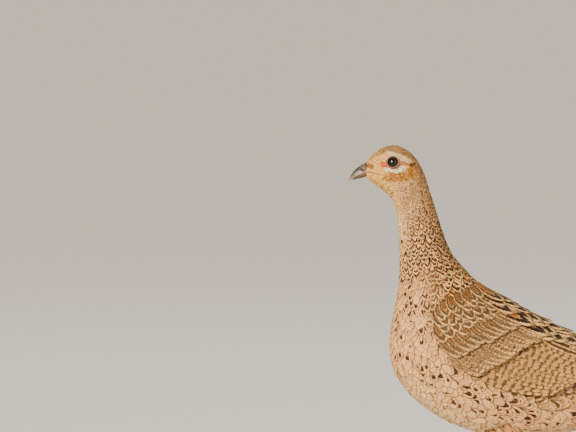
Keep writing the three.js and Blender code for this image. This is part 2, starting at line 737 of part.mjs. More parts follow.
export default pheasant;
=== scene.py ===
import math

import bmesh
import bpy
import numpy as np
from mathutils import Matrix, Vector


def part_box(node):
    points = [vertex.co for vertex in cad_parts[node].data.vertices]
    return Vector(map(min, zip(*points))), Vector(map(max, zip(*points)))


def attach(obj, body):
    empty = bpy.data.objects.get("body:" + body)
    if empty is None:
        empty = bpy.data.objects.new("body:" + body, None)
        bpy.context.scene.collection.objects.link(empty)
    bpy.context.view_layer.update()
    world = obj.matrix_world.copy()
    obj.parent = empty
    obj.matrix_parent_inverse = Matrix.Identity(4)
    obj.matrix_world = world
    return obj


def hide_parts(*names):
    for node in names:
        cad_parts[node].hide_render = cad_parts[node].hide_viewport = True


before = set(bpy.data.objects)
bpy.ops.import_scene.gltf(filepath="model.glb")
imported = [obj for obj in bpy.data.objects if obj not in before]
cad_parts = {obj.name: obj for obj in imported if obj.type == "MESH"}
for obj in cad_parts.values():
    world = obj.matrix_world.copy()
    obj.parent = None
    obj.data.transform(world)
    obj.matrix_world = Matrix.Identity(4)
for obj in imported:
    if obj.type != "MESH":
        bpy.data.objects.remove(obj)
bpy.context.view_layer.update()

# The body's outline in millimetres, as in the CAD source: a point on the back, a point on the belly,
# half the width, and how much wider the back's half is than the belly's.
bodyStations = np.array([
    [-112.8, 380.6, -114.4, 366.0, 6.2, 0],
    [-106.0, 388.0, -108.0, 360.6, 10.4, 0],
    [-97.0, 393.3, -99.5, 354.2, 13.2, 0.06],
    [-86.5, 394.8, -93.5, 349.2, 14.6, 0.1],
    [-75.5, 390.0, -89.6, 344.6, 14.8, 0.06],
    [-66.8, 380.8, -87.6, 339.8, 14.2, 0],
    [-60.3, 368.0, -86.2, 333.5, 13.6, 0],
    [-55.3, 352.0, -84.9, 326.0, 13.8, 0],
    [-50.0, 335.5, -83.8, 313.5, 15.0, 0],
    [-44.2, 317.5, -83.0, 298.5, 17.0, 0],
    [-36.5, 298.0, -83.1, 281.0, 20.5, 0],
    [-26.5, 285.0, -84.9, 259.5, 26.5, 0.02],
    [-14.5, 272.0, -89.6, 234.5, 33.5, 0.04],
    [-2.0, 261.0, -92.4, 209.0, 39.5, 0.04],
    [12.0, 251.0, -87.0, 184.5, 43.5, 0.02],
    [28.0, 241.0, -70.0, 161.5, 46.0, 0],
    [46.5, 230.5, -43.5, 142.5, 46.5, 0],
    [67.0, 220.0, -9.0, 129.0, 45.0, 0],
    [88.0, 210.0, 28.0, 124.0, 41.5, 0],
    [108.0, 200.5, 65.0, 127.5, 35.5, 0],
    [127.0, 191.5, 98.0, 139.0, 28.0, 0.04],
    [144.0, 183.5, 126.0, 152.5, 20.0, 0.08],
    [157.0, 177.5, 147.0, 163.0, 13.0, 0.1],
])
tailEnd = len(bodyStations) - 1
billTip = -130.4
sceneShift = np.array([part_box("bill_upper")[0][0] * 1000 - billTip, 0, 0])
eyeCentre = np.array([-89, 9.0, 379.6])
gaze = np.array([-0.12, 0.95, 0.22]) / np.linalg.norm([-0.12, 0.95, 0.22])


def toScene(points):
    return (np.asarray(points, float) + sceneShift) / 1000


def unit(vectors):
    return vectors / np.maximum(np.linalg.norm(vectors, axis=-1, keepdims=True), 1e-9)


def smoothStep(low, high, values):
    u = np.clip((np.asarray(values, float) - low) / (high - low), 0, 1)
    return u * u * (3 - 2 * u)


def between(a, b, u):
    return a + (b - a) * u


def linear(code):
    # sRGB hex to the linear colour that the shaders take
    parts = [int(code[i:i + 2], 16) / 255 for i in (1, 3, 5)]
    return np.array([p / 12.92 if p <= 0.04045 else ((p + 0.055) / 1.055) ** 2.4 for p in parts] + [1.0])


def splineRows(table, where):
    table = np.asarray(table, float)
    padded = np.vstack([2 * table[0] - table[1], table, 2 * table[-1] - table[-2]])
    i = np.clip(np.floor(where).astype(int), 0, len(table) - 2)
    f = (where - i)[..., None]
    a, b, c, d = padded[i], padded[i + 1], padded[i + 2], padded[i + 3]
    return b + 0.5 * f * (c - a + f * (2 * a - 5 * b + 4 * c - d + f * (3 * (b - c) + d - a)))


def paired(t, angle):
    return np.broadcast_arrays(np.asarray(t, float), np.asarray(angle, float))


def bodySurface(t, angle):
    # the outer face of the coat: t runs from the bill to the tail, the angle from the back over +Y
    t, angle = paired(t, angle)
    backX, backZ, bellyX, bellyZ, half, wider = np.moveaxis(splineRows(bodyStations, t), -1, 0)
    up = np.cos(angle)
    x = (backX + bellyX) / 2 + up * (backX - bellyX) / 2
    z = (backZ + bellyZ) / 2 + up * (backZ - bellyZ) / 2
    return np.stack([x, half * np.sin(angle) * (1 + wider * up), z], -1)


legShape = {"ankle": (22, 27, 6), "heel": (38, 27, 68), "knee": (6, 21, 150),
            "thigh": (84, 10), "girth": (5.6, 15), "taper": 0.75, "depth": 1.3}
ankle, heel, knee = (np.array(legShape[key], float) for key in ("ankle", "heel", "knee"))
thighUp = unit(knee - heel)


def thighSurface(t, angle):
    # t runs from the belly down to the bare shank
    t, angle = paired(t, angle)
    reach = between(*legShape["thigh"], t)
    radius = between(*legShape["girth"], np.clip(1 - t, 0, 1) ** legShape["taper"])
    side = unit(np.array([0, 1, 0]) - thighUp * thighUp[1])
    front = np.cross(side, thighUp)
    return (heel + thighUp * reach[..., None] + side * (radius * np.sin(angle))[..., None]
            + front * (radius * legShape["depth"] * np.cos(angle))[..., None])


def surfaceFrame(surface, t, angle, step=0.01):
    onward = (surface(t + step, angle) - surface(t - step, angle)) / (2 * step)
    around = (surface(t, angle + step) - surface(t, angle - step)) / (2 * step)
    return onward, around, unit(np.cross(onward, around))


def walkOver(surface, t, angle, heading, distance, steps):
    # all feathers walk over the surface at once: heading 0 runs onward, positive turns to the belly on +Y
    t, angle = np.array(t, float), np.array(angle, float)
    path = [(t.copy(), angle.copy())]
    for _ in range(steps):
        onward, around, normal = surfaceFrame(surface, t, angle)
        ahead = unit(onward)
        down = np.cross(normal, ahead)
        move = (ahead * np.cos(heading)[:, None] + down * np.sin(heading)[:, None]) * (distance / steps)[:, None]
        aa, ab, bb = (onward * onward).sum(-1), (onward * around).sum(-1), (around * around).sum(-1)
        ma, mb = (move * onward).sum(-1), (move * around).sum(-1)
        whole = aa * bb - ab * ab
        t = t + (ma * bb - mb * ab) / whole
        angle = angle + (mb * aa - ma * ab) / whole
        path.append((t.copy(), angle.copy()))
    return path


def meshFrom(form, name):
    mesh = bpy.data.meshes.new(name)
    form.to_mesh(mesh)
    form.free()
    return mesh


def readPoints(mesh):
    flat = np.zeros(len(mesh.vertices) * 3)
    mesh.vertices.foreach_get("co", flat)
    return flat.reshape(-1, 3)


def cadPoints(mesh):
    return readPoints(mesh) * 1000 - sceneShift


def movePoints(mesh, points):
    mesh.vertices.foreach_set("co", points.ravel())


def finishPiece(mesh, name, material, replaced=()):
    for polygon in mesh.polygons:
        polygon.use_smooth = True
    piece = bpy.data.objects.new(name, mesh)
    bpy.context.scene.collection.objects.link(piece)
    mesh.materials.append(material)
    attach(piece, "root")
    if replaced:
        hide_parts(*replaced)


def finishPair(mesh, name, material, nodes=()):
    # the piece of the right side, and its mirror image
    finishPiece(mesh, name + "Right", material, [node.format("right") for node in nodes])
    twin = mesh.copy()
    twin.name = name + "Left"
    twin.materials.clear()
    mirrorPoints(twin)
    finishPiece(twin, twin.name, material, [node.format("left") for node in nodes])


def mirrorPoints(mesh):
    movePoints(mesh, readPoints(mesh) * [1, -1, 1])
    mesh.flip_normals()


def cornerVertices(mesh):
    corners = np.zeros(len(mesh.loops), int)
    mesh.loops.foreach_get("vertex_index", corners)
    return corners


def wrappedSheet(name, along, around, place, bake=None):
    # a grid is bent into a tube by place(u, v), welded along its seam and closed at both ends
    form = bmesh.new()
    bmesh.ops.create_grid(form, x_segments=along, y_segments=around, size=0.5)
    mesh = meshFrom(form, name)
    u, v = readPoints(mesh)[:, 0] + 0.5, readPoints(mesh)[:, 1] + 0.5
    if bake:
        places = np.stack(bake(u, v), -1)[cornerVertices(mesh)]
        mesh.uv_layers.new(name="OFBake").data.foreach_set("uv", places.ravel())
    movePoints(mesh, toScene(place(u, v)))
    form = bmesh.new()
    form.from_mesh(mesh)
    bmesh.ops.remove_doubles(form, verts=form.verts, dist=2e-6)
    bmesh.ops.holes_fill(form, edges=[edge for edge in form.edges if edge.is_boundary])
    bmesh.ops.recalc_face_normals(form, faces=form.faces)
    form.to_mesh(mesh)
    form.free()
    return mesh


def setAttribute(mesh, name, values):
    # four numbers for each point are a colour, three are a vector
    values = np.asarray(values, np.float32)
    kind, key = ("FLOAT_COLOR", "color") if values.shape[-1] == 4 else ("FLOAT_VECTOR", "vector")
    mesh.attributes.new(name, kind, "POINT").data.foreach_set(key, values.ravel())


def paintEvenly(mesh, colour):
    setAttribute(mesh, "Ground", np.tile(colour, (len(mesh.vertices), 1)))


# Materials. A row of a node table holds a node's name, its kind with its mode, and its inputs by number or
# name. An input is a value, or an earlier node's name with the name of its output after a dot.
nodeModes = {"Math": "operation", "VectorMath": "operation", "MapRange": "interpolation_type",
             "Mix": "data_type", "Attribute": "attribute_name", "TexVoronoi": "feature"}


def setInputs(tree, node, inputs):
    for key, value in inputs.items() if isinstance(inputs, dict) else enumerate(inputs):
        if isinstance(value, str):
            source, _, output = value.partition(".")
            source = tree.nodes[source]
            usual = 2 if source.bl_idname == "ShaderNodeMix" else 0
            tree.links.new(source.outputs[output or usual], node.inputs[key])
        else:
            node.inputs[key].default_value = value


def addNode(tree, name, kind, inputs=(), settings=()):
    kind, _, mode = kind.partition(" ")
    node = tree.nodes.new("ShaderNode" + kind)
    node.name = name
    for key, value in [*settings, *([(nodeModes[kind], mode)] if mode else [])]:
        setattr(node, key, value)
    setInputs(tree, node, inputs)


def newMaterial(name, rows, surface):
    material = bpy.data.materials.new(name)
    material.use_nodes = True
    for row in rows:
        addNode(material.node_tree, *row)
    setInputs(material.node_tree, material.node_tree.nodes["Principled BSDF"], surface)
    return material


featherLook = {"barbPitch": 0.55, "barbDepth": 0.05, "roughness": 0.78, "sheen": 0.02, "mottle": 0.16, "shaft": 0.12,
               "shaftColour": "#c9b292"}


def featherMaterial(name, **changes):
    # keratin barbs, grown and preened flat: a dry matt face with a faint silky sheen along the barbs
    look = {**featherLook, **changes}
    return newMaterial(name, [
        *((key, "Attribute " + key) for key in ("Vane", "Size", "Style", "Ground", "Centre", "Mark")),
        # across, along and seed; half width, length and bar spacing; strength of band, heart and bars
        ("onVane", "SeparateXYZ", ["Vane.Vector"]),
        ("sizes", "SeparateXYZ", ["Size.Vector"]),
        ("strength", "SeparateColor", ["Style.Color"]),
        ("across", "Math ABSOLUTE", ["onVane.X"]),
        ("alongMm", "Math MULTIPLY", ["onVane.Y", "sizes.Y"]),
        ("acrossMm", "Math MULTIPLY", ["across", "sizes.X"]),
        ("sideMm", "Math MULTIPLY", ["onVane.X", "sizes.X"]),
        ("seedAway", "Math MULTIPLY", ["onVane.Z", 90]),
        ("place", "CombineXYZ", ["sideMm", "alongMm", "seedAway"]),
        # blotches of one to two millimetres break up every marking
        ("noise", "TexNoise", {"Vector": "place", "Scale": 0.55, "Detail": 3, "Roughness": 0.6}),
        ("wobble", "Math SUBTRACT", ["noise", 0.5]),
        # the radius runs out from the middle of the tip's half; band and heart follow it
        ("tipPart", "MapRange", ["onVane.Y", 0.35, 1]),
        ("acrossSquare", "Math MULTIPLY", ["across", "across"]),
        ("tipSquare", "Math MULTIPLY", ["tipPart", "tipPart"]),
        ("square", "Math ADD", ["acrossSquare", "tipSquare"]),
        ("even", "Math SQRT", ["square"]),
        ("radius", "Math MULTIPLY_ADD", ["wobble", 0.5, "even"]),
        ("bandIn", "MapRange SMOOTHSTEP", ["radius", 0.42, 0.52]),
        ("bandOut", "MapRange SMOOTHSTEP", ["radius", 0.82, 0.9, 1, 0]),
        ("band", "Math MULTIPLY", ["bandIn", "bandOut"]),
        ("bandEnd", "Math ADD", ["Style.Alpha", 0.25]),
        ("bandWide", "MapRange SMOOTHSTEP", ["across", "Style.Alpha", "bandEnd", 1, 0]),
        ("bandPart", "Math MULTIPLY", ["band", "bandWide"]),
        ("bandAmount", "Math MULTIPLY", ["bandPart", "strength.Red"]),
        ("heart", "MapRange SMOOTHSTEP", ["radius", 0.34, 0.52, 1, 0]),
        ("heartAmount", "Math MULTIPLY", ["heart", "strength.Green"]),
        ("barPlace", "Math MULTIPLY_ADD", ["wobble", 10, "alongMm"]),
        ("barTurn", "Math DIVIDE", ["barPlace", "sizes.Z"]),
        ("barBend", "Math MULTIPLY_ADD", ["onVane.Z", 0.9, "barTurn"]),
        ("barLean", "Math MULTIPLY_ADD", ["across", 0.22, "barBend"]),
        ("barWave", "Math MULTIPLY", ["barLean", math.tau]),
        ("barSine", "Math SINE", ["barWave"]),
        ("bar", "MapRange SMOOTHSTEP", ["barSine", 0.15, 0.5]),
        ("barAmount", "Math MULTIPLY", ["bar", "strength.Blue"]),
        ("withHeart", "Mix RGBA", {0: "heartAmount", 6: "Ground.Color", 7: "Centre.Color"}),
        ("withBars", "Mix RGBA", {0: "barAmount", 6: "withHeart", 7: "Mark.Color"}),
        ("withBand", "Mix RGBA", {0: "bandAmount", 6: "withBars", 7: "Mark.Color"}),
        ("shaft", "MapRange", ["acrossMm", 0.3, 0.55, look["shaft"], 0]),
        ("withShaft", "Mix RGBA", {0: "shaft", 6: "withBand", 7: linear(look["shaftColour"])}),
        # each barb is about 0.1 mm; drawn five times as coarse so that it shows
        ("barbPlace", "Math SUBTRACT", ["alongMm", "acrossMm"]),
        ("barbTurn", "Math MULTIPLY", ["barbPlace", math.tau / look["barbPitch"]]),
        ("barb", "Math SINE", ["barbTurn"]),
        # the grooves between barbs are painted a little darker and the ridges a little lighter, in step with the bump:
        # painted shade and painted light
        ("barbShade", "MapRange", ["barb", -1, 1, 0.93, 1.05]),
        ("blotch", "MapRange", ["noise", 0.25, 0.75, 1 - look["mottle"], 1 + look["mottle"]]),
        ("shade", "Math MULTIPLY", ["barbShade", "blotch"]),
        ("colour", "VectorMath SCALE", {0: "withShaft", "Scale": "shade"}),
        ("bump", "Bump", {"Height": "barb", "Strength": 0.15, "Distance": look["barbDepth"] / 1000}),
    ], {"Base Color": "colour", "Normal": "bump", "Roughness": look["roughness"], "Sheen Weight": look["sheen"],
        "Sheen Roughness": 0.4, "IOR": 1.45, "Specular IOR Level": 0.12})


def skinMaterial(name, pore, roughness, creaseShadeLevel):
    # thin dry skin set with small warts or scales: matt, with a slight waxy light on the bare face
    return newMaterial(name, [
        ("ground", "Attribute Ground"), ("place", "TexCoord"),
        # warts lie about half a millimetre apart
        ("warts", "TexVoronoi F1", {"Vector": "place.Object", "Scale": 1000 / pore}),
        ("patches", "TexNoise", {"Vector": "place.Object", "Scale": 420, "Detail": 3}),
        ("shade", "MapRange", ["patches", 0.3, 0.7, 0.82, 1.15]),
        # the wart tops are painted lighter and the seams between them darker, in step with the bump: painted light and
        # painted shade
        ("crease", "MapRange", ["warts.Distance", 0, 0.7, 1.15, creaseShadeLevel]),
        ("both", "Math MULTIPLY", ["shade", "crease"]),
        ("colour", "VectorMath SCALE", {0: "ground.Color", "Scale": "both"}),
        ("bump", "Bump", {"Height": "warts.Distance", "Strength": 0.6, "Distance": 0.00015}, [("invert", True)]),
    ], {"Base Color": "colour", "Normal": "bump", "Roughness": roughness, "IOR": 1.42})


def hornMaterial(name, roughness):
    # keratin horn, worn smooth: dull gloss, streaked along its growth
    return newMaterial(name, [
        ("ground", "Attribute Ground"), ("place", "TexCoord"),
        ("stretched", "Mapping", {"Vector": "place.Object", "Scale": (0.35, 1.6, 1.6)}),
        # growth streaks lie about half a millimetre apart
        ("streaks", "TexNoise", {"Vector": "stretched", "Scale": 1300, "Detail": 4, "Roughness": 0.65}),
        ("shade", "MapRange", ["streaks", 0.3, 0.7, 0.75, 1.25]),
        ("colour", "VectorMath SCALE", {0: "ground.Color", "Scale": "shade"}),
        ("gloss", "MapRange", ["streaks", 0, 1, roughness - 0.1, roughness + 0.15]),
        ("bump", "Bump", {"Height": "streaks", "Strength": 0.3, "Distance": 0.00012}),
    ], {"Base Color": "colour", "Normal": "bump", "Roughness": "gloss", "IOR": 1.54})


def eyeMaterial(name):
    # a wet cornea over a dark brown iris: almost black, with one sharp highlight
    return newMaterial(name, [
        ("vane", "Attribute Vane"), ("place", "TexCoord"),
        ("parts", "SeparateXYZ", ["vane.Vector"]),
        ("fibres", "TexNoise", {"Vector": "place.Object", "Scale": 1500, "Detail": 2}),
        ("iris", "Mix RGBA", {0: "fibres", 6: linear("#170b06"), 7: linear("#30180c")}),
        ("pupil", "MapRange SMOOTHSTEP", ["parts.X", 2.5, 2.9]),
        ("rim", "MapRange SMOOTHSTEP", ["parts.X", 3.9, 4.6]),
        ("inner", "Mix RGBA", {0: "pupil", 6: linear("#070503"), 7: "iris"}),
        ("colour", "Mix RGBA", {0: "rim", 6: "inner", 7: linear("#1b0f0a")}),
    ], {"Base Color": "colour", "Roughness": 0.12, "IOR": 1.38, "Specular IOR Level": 0.25,
        "Coat Weight": 0.5, "Coat Roughness": 0.02})


bodyFeather = featherMaterial("preenedBodyFeather")
downFeather = featherMaterial("shortFaceFeather", barbPitch=0.4, roughness=0.85, mottle=0.2, shaft=0.0)
flightFeather = featherMaterial("stiffFlightFeather", barbPitch=0.8, roughness=0.62, mottle=0.12, shaft=0.4)
# the last number is how dark the painted shade in the seams between warts gets
birdSkin = skinMaterial("wartyBirdSkin", pore=0.6, roughness=0.6, creaseShadeLevel=0.55)
legSkin = skinMaterial("scalyLegSkin", pore=1.1, roughness=0.5, creaseShadeLevel=0.78)
billHorn = hornMaterial("wornBillHorn", 0.42)
clawHorn = hornMaterial("wornClawHorn", 0.4)
wetEye = eyeMaterial("wetEyeball")
print("materials made")

# Plumage colours by region. Ground is the feather's own colour, centre its middle and mark its pattern.
plumage = {
    "crown": ("#dcae80", "#7b5334", "#553522"), "forehead": ("#f5c082", "#d89c5c", "#8f5f35"),
    "brow": ("#f4d3a8", "#f0cb9e", "#dcb083"), "lore": ("#f8c886", "#f0b874", "#cf9458"),
    "crescent": ("#ffe8ca", "#ffe8ca", "#f4d8b4"), "ear": ("#b97c46", "#a2673a", "#80502c"),
    "cheek": ("#dfa870", "#b5733f", "#7d4522"), "throat": ("#f2c68a", "#e8b878", "#8c5f38"),
    "streak": ("#6f4427", "#5c3720", "#3f2617"), "nape": ("#c79a70", "#94663f", "#3d2518"),
    "neck": ("#e6b98c", "#cf9d70", "#3a2014"), "foreneck": ("#f7d2a2", "#eec491", "#54331f"),
    "breast": ("#dfb086", "#b98a5c", "#2a160d"), "belly": ("#dcbb92", "#cfab82", "#8d6a4b"),
    "flank": ("#d2a67a", "#946442", "#452b1c"), "mantle": ("#deb27e", "#a8622e", "#2a1710"),
    "rump": ("#c69d71", "#7d5638", "#3c271b"), "vent": ("#a8804f", "#8c6440", "#4c3323"),
    "covert": ("#d6ad80", "#6e4628", "#2c1c13"), "secondary": ("#c59b6e", "#7f5d41", "#3f2b1f"),
    "primary": ("#b8946c", "#8d6d50", "#43322a"), "scapular": ("#deb483", "#935428", "#25160f"),
    "tail": ("#bb9164", "#9b6f47", "#35241a"),
}
richness = 1.24


def deepen(code):
    # soft light pales a feather, so its own colour is deeper than it looks
    colour = linear(code)[:3]
    grey = colour @ np.array([0.21, 0.72, 0.07])
    return np.append(np.clip(grey + (colour - grey) * richness, 0.001, 1), 1.0)


plumage = {region: np.array([deepen(code) for code in codes]) for region, codes in plumage.items()}
bareSkin = {"front": deepen("#d4592a"), "behind": deepen("#d0855c"),
            "lid": linear("#a27a54"), "lidEdge": linear("#4a3122")}


def evenly(region, count):
    return np.tile(plumage[region], (count, 1, 1))


def layered(colours, *layers):
    # each layer names a region and says how much of it covers what lies below
    for region, amount in layers:
        colours = between(colours, plumage[region], np.asarray(amount)[:, None, None])
    return colours


def varied(colours, random, spread):
    return colours * (1 - spread / 2 + spread * random.random((len(colours), 1, 1)))


# Marks on the face: where the edge is soft, then place behind and above the eye, half sizes and lean
faceMarks = {
    "rufous": (0.7, 1.2, 3, -12.5, 15, 5.0, 8), "billSide": (0.6, 1.1, -21.5, -3.2, 4.8, 2.7, -20),
    "ear": (0.75, 1.1, 19.5, -7.5, 6.8, 8.2, 20), "brow": (0.75, 1.1, 5, 5.6, 13.5, 2.8, -20),
    "streak": (0.8, 1.1, 16, -1.0, 5.4, 1.3, 18),
}
barePatches = ((-8.8, -1.7, 3.7, 2.7, -20), (8.4, -0.4, 3.6, 1.8, 8))


def faceOffsets(points):
    # how far each point lies behind and above the eye in the side view, in millimetres
    return points[:, 0] - eyeCentre[0], points[:, 2] - eyeCentre[2]


def ellipse(dx, dz, x, z, rx, rz, lean=0.0):
    c, s = math.cos(math.radians(lean)), math.sin(math.radians(lean))
    px, pz = (dx - x) * c + (dz - z) * s, -(dx - x) * s + (dz - z) * c
    return np.sqrt((px / rx) ** 2 + (pz / rz) ** 2)


def bareReach(points):
    # the two patches of bare skin, ahead of the eye and behind it: inside is below 1
    inward = np.where(np.abs(points[:, 1]) > 5, 0, 9)
    return [ellipse(*faceOffsets(points), *patch) + inward for patch in barePatches]


def crescentPatch(points):
    dx, dz = faceOffsets(points)
    far = np.hypot(dx, dz * 1.06)
    low = np.degrees(np.arctan2(-dz, dx))
    reach = between(9.4, 12.0, smoothStep(90, 15, low)) + 1.6 * smoothStep(105, 150, low)
    return (far < reach) & (low > 8) & (low < 152) & ((dx > -5) | (dz < -4.0)) & (np.abs(points[:, 1]) > 5)


def neckLook(t, side):
    back, front = 1 - smoothStep(0.5, 1.5, side), smoothStep(1.9, 2.7, side)
    band = between(0.7, 1.0, smoothStep(6.4, 9.0, t)) * between(1, 0.3, front * (1 - smoothStep(7.5, 10, t)))
    return (layered(evenly("neck", len(t)), ("nape", back * 0.85), ("foreneck", front * (1 - smoothStep(8.5, 11, t)))),
            [band, 0.5 * back + 0.25 * smoothStep(7, 10, t), 0 * t, between(0.55, 0.9, smoothStep(6.0, 9.5, t))])


def torsoLook(t, side, chance):
    mantle, breast = 1 - smoothStep(1.05, 1.5, side), smoothStep(1.45, 2.0, side)
    belly = smoothStep(2.2, 2.75, side) * smoothStep(13.5, 15.5, t)
    colours = layered(
        evenly("flank", len(t)), ("mantle", mantle), ("rump", mantle * smoothStep(14.5, 17, t)),
        ("breast", breast), ("belly", belly), ("vent", smoothStep(19, 20.5, t) * smoothStep(1.3, 1.9, side)))
    # the breast is plain buff with a few dark spots, fewer towards the middle
    spotted = chance > between(0.5, 0.82, smoothStep(1.7, 2.6, side))
    calm = 1 - 0.75 * belly
    return colours, [between(between(0.85, 0.06 + 0.94 * spotted, breast), 1.0, mantle) * calm,
                     between(between(0.7, 0.2, breast), 1.0, mantle) * calm, 0.12 * calm, between(1.0, 0.36, breast)]


def faceLook(points, side, chance):
    dx, dz = faceOffsets(points)
    marks = {name: 1 - smoothStep(low, high, ellipse(dx, dz, *place))
             for name, (low, high, *place) in faceMarks.items()}
    rufous, streak, brow = marks["rufous"], marks["streak"], marks["brow"] * (np.abs(points[:, 1]) > 6)
    throat, crown, forehead = smoothStep(2.15, 2.55, side), 1 - smoothStep(0.62, 0.85, side), smoothStep(-9, -17, dx)
    lore = smoothStep(-8, -13, dx) * smoothStep(1.0, 1.3, side)
    speckled = smoothStep(2, 12, dx) * smoothStep(-12, -18, dz) * (chance > 0.7)
    nape = smoothStep(14, 22, dx) * (1 - smoothStep(1.1, 1.5, side)) * (1 - streak)
    colours = layered(
        evenly("throat", len(side)),
        ("neck", np.maximum(smoothStep(4, 22, dx), smoothStep(-12, -20, dz) * smoothStep(-2, 6, dx))),
        ("cheek", rufous),
        ("throat", np.maximum(throat, smoothStep(-3, -12, dx) * smoothStep(1.7, 2.1, side))), ("lore", lore),
        ("streak", 0.75 * marks["billSide"]), ("ear", marks["ear"]), ("crown", crown), ("forehead", crown * forehead),
        ("brow", brow), ("streak", streak), ("nape", nape * 0.7),
        ("streak", 0.55 * throat * (dx < 0) * (chance > 0.55)), ("ear", 0.6 * rufous * (np.mod(chance * 7, 1) > 0.6)))
    band = np.maximum(0.08 + rufous * 0.8 * (chance > 0.45), 0.9 * speckled)
    band = between(band, 0.6 * (chance > 0.8) * (1 - lore), np.maximum(throat, lore))
    band = between(band, 0.35 + 0.65 * (chance > 0.35), crown) * (1 - 0.9 * brow)
    heart = between(rufous * (chance > 0.5), (chance > 0.4) * 0.95, crown * (1 - 0.6 * forehead))
    pale = crescentPatch(points)
    colours[pale] = plumage["crescent"]
    return colours, [band * ~pale, heart * ~pale, 0 * band, between(1.0, 0.5, speckled)]


def regionLook(t, angle, chance):
    # Colours, and strengths of band, heart and bars with the band's reach, for feathers rooted at t and angle.
    # The skin below them takes the same colours. side is 0 on the back and pi on the belly.
    side = np.abs(np.angle(np.exp(1j * np.asarray(angle))))
    colours, style = neckLook(t, side)
    for (others, otherStyle), amount in ((torsoLook(t, side, chance), smoothStep(9.8, 11.4, t)),
                                         (faceLook(bodySurface(t, angle), side, chance), 1 - smoothStep(5.2, 6.6, t))):
        colours = between(colours, others, amount[:, None, None])
        style = [between(mine, other, amount) for mine, other in zip(style, otherStyle)]
    return colours, np.stack(style, -1)


# Skin: one sheet for head, neck and torso, inside the solids by the depth of the coat
coatDepth = {"t": [0, 1, 3, 6, 9, 12, 18, 22], "mm": [0.3, 0.8, 1.1, 1.8, 2.6, 3.6, 3.6, 2.4]}
eyeOpening = {"radius": 4.9, "depth": 9.0, "ring": 6.4, "ringWidth": 1.3, "ringHeight": 0.55, "bareHeight": 0.9}
unwrap = {"edge": 0.03, "along": 0.94 / 22.4, "around": 0.77 / math.tau}


def depthAt(t):
    return np.interp(t, coatDepth["t"], coatDepth["mm"])


def bakePlace(t, angle):
    # an unwrap of the skin's own sheet: along the body, and round it
    return unwrap["edge"] + unwrap["along"] * t, unwrap["edge"] + unwrap["around"] * angle


def placeSkin(u, v):
    t, angle = u * tailEnd, v * math.tau
    normal = surfaceFrame(bodySurface, t, angle)[2]
    points = bodySurface(t, angle) - normal * depthAt(t)[:, None]
    for side in (1, -1):
        axis, centre = gaze * [1, side, 1], eyeCentre * [1, side, 1]
        reach = points - centre
        out = (reach * axis).sum(-1)
        aside = np.linalg.norm(reach - out[:, None] * axis, axis=-1)
        push = smoothStep(eyeOpening["radius"] + 0.5, eyeOpening["radius"] - 0.4, aside) * eyeOpening["depth"]
        swell = np.exp(-((aside - eyeOpening["ring"]) / eyeOpening["ringWidth"]) ** 2) * eyeOpening["ringHeight"]
        points = points + axis * ((swell - push) * (out > 0))[:, None]
    bare = smoothStep(1.2, 0.8, np.minimum(*bareReach(points)))
    return points + normal * (eyeOpening["bareHeight"] * bare)[:, None]


skinMesh = wrappedSheet("skin", 260, 150, placeSkin, lambda u, v: bakePlace(u * tailEnd, v * math.tau))
bakeCorners = np.zeros(len(skinMesh.loops) * 2)
skinMesh.uv_layers["OFBake"].data.foreach_get("uv", bakeCorners)
points = cadPoints(skinMesh)
t, angle = np.zeros((2, len(points)))
t[cornerVertices(skinMesh)] = (bakeCorners[::2] - unwrap["edge"]) / unwrap["along"]
angle[cornerVertices(skinMesh)] = (bakeCorners[1::2] - unwrap["edge"]) / unwrap["around"]
colours = regionLook(t, angle, np.random.default_rng(3).random(len(t)))[0]
ground = between(colours[:, 0], colours[:, 1], 0.35)
front, behind = bareReach(points)
ground[front < 1] = bareSkin["front"]
ground[behind < 1] = bareSkin["behind"]
ground[(np.hypot(*faceOffsets(points)) < 6.5) & (np.abs(points[:, 1]) > 4)] = bareSkin["lid"]
setAttribute(skinMesh, "Ground", ground)
finishPiece(skinMesh, "skin", birdSkin, ["head", "neck", "torso"])
print("skin made")


# Feathers. Every vane is a closed thin shell: an upper and a lower face that share their rim.
def vaneFaces(rows, columns):
    top = np.arange(rows * columns).reshape(rows, columns)
    under = top.copy()
    inner = (rows - 2) * (columns - 2)
    under[1:-1, 1:-1] = rows * columns + np.arange(inner).reshape(rows - 2, columns - 2)
    upper = np.stack([top[:-1, :-1], top[:-1, 1:], top[1:, 1:], top[1:, :-1]], -1).reshape(-1, 4)
    lower = np.stack([under[:-1, :-1], under[1:, :-1], under[1:, 1:], under[:-1, 1:]], -1).reshape(-1, 4)
    return np.vstack([upper, lower]), rows * columns + inner


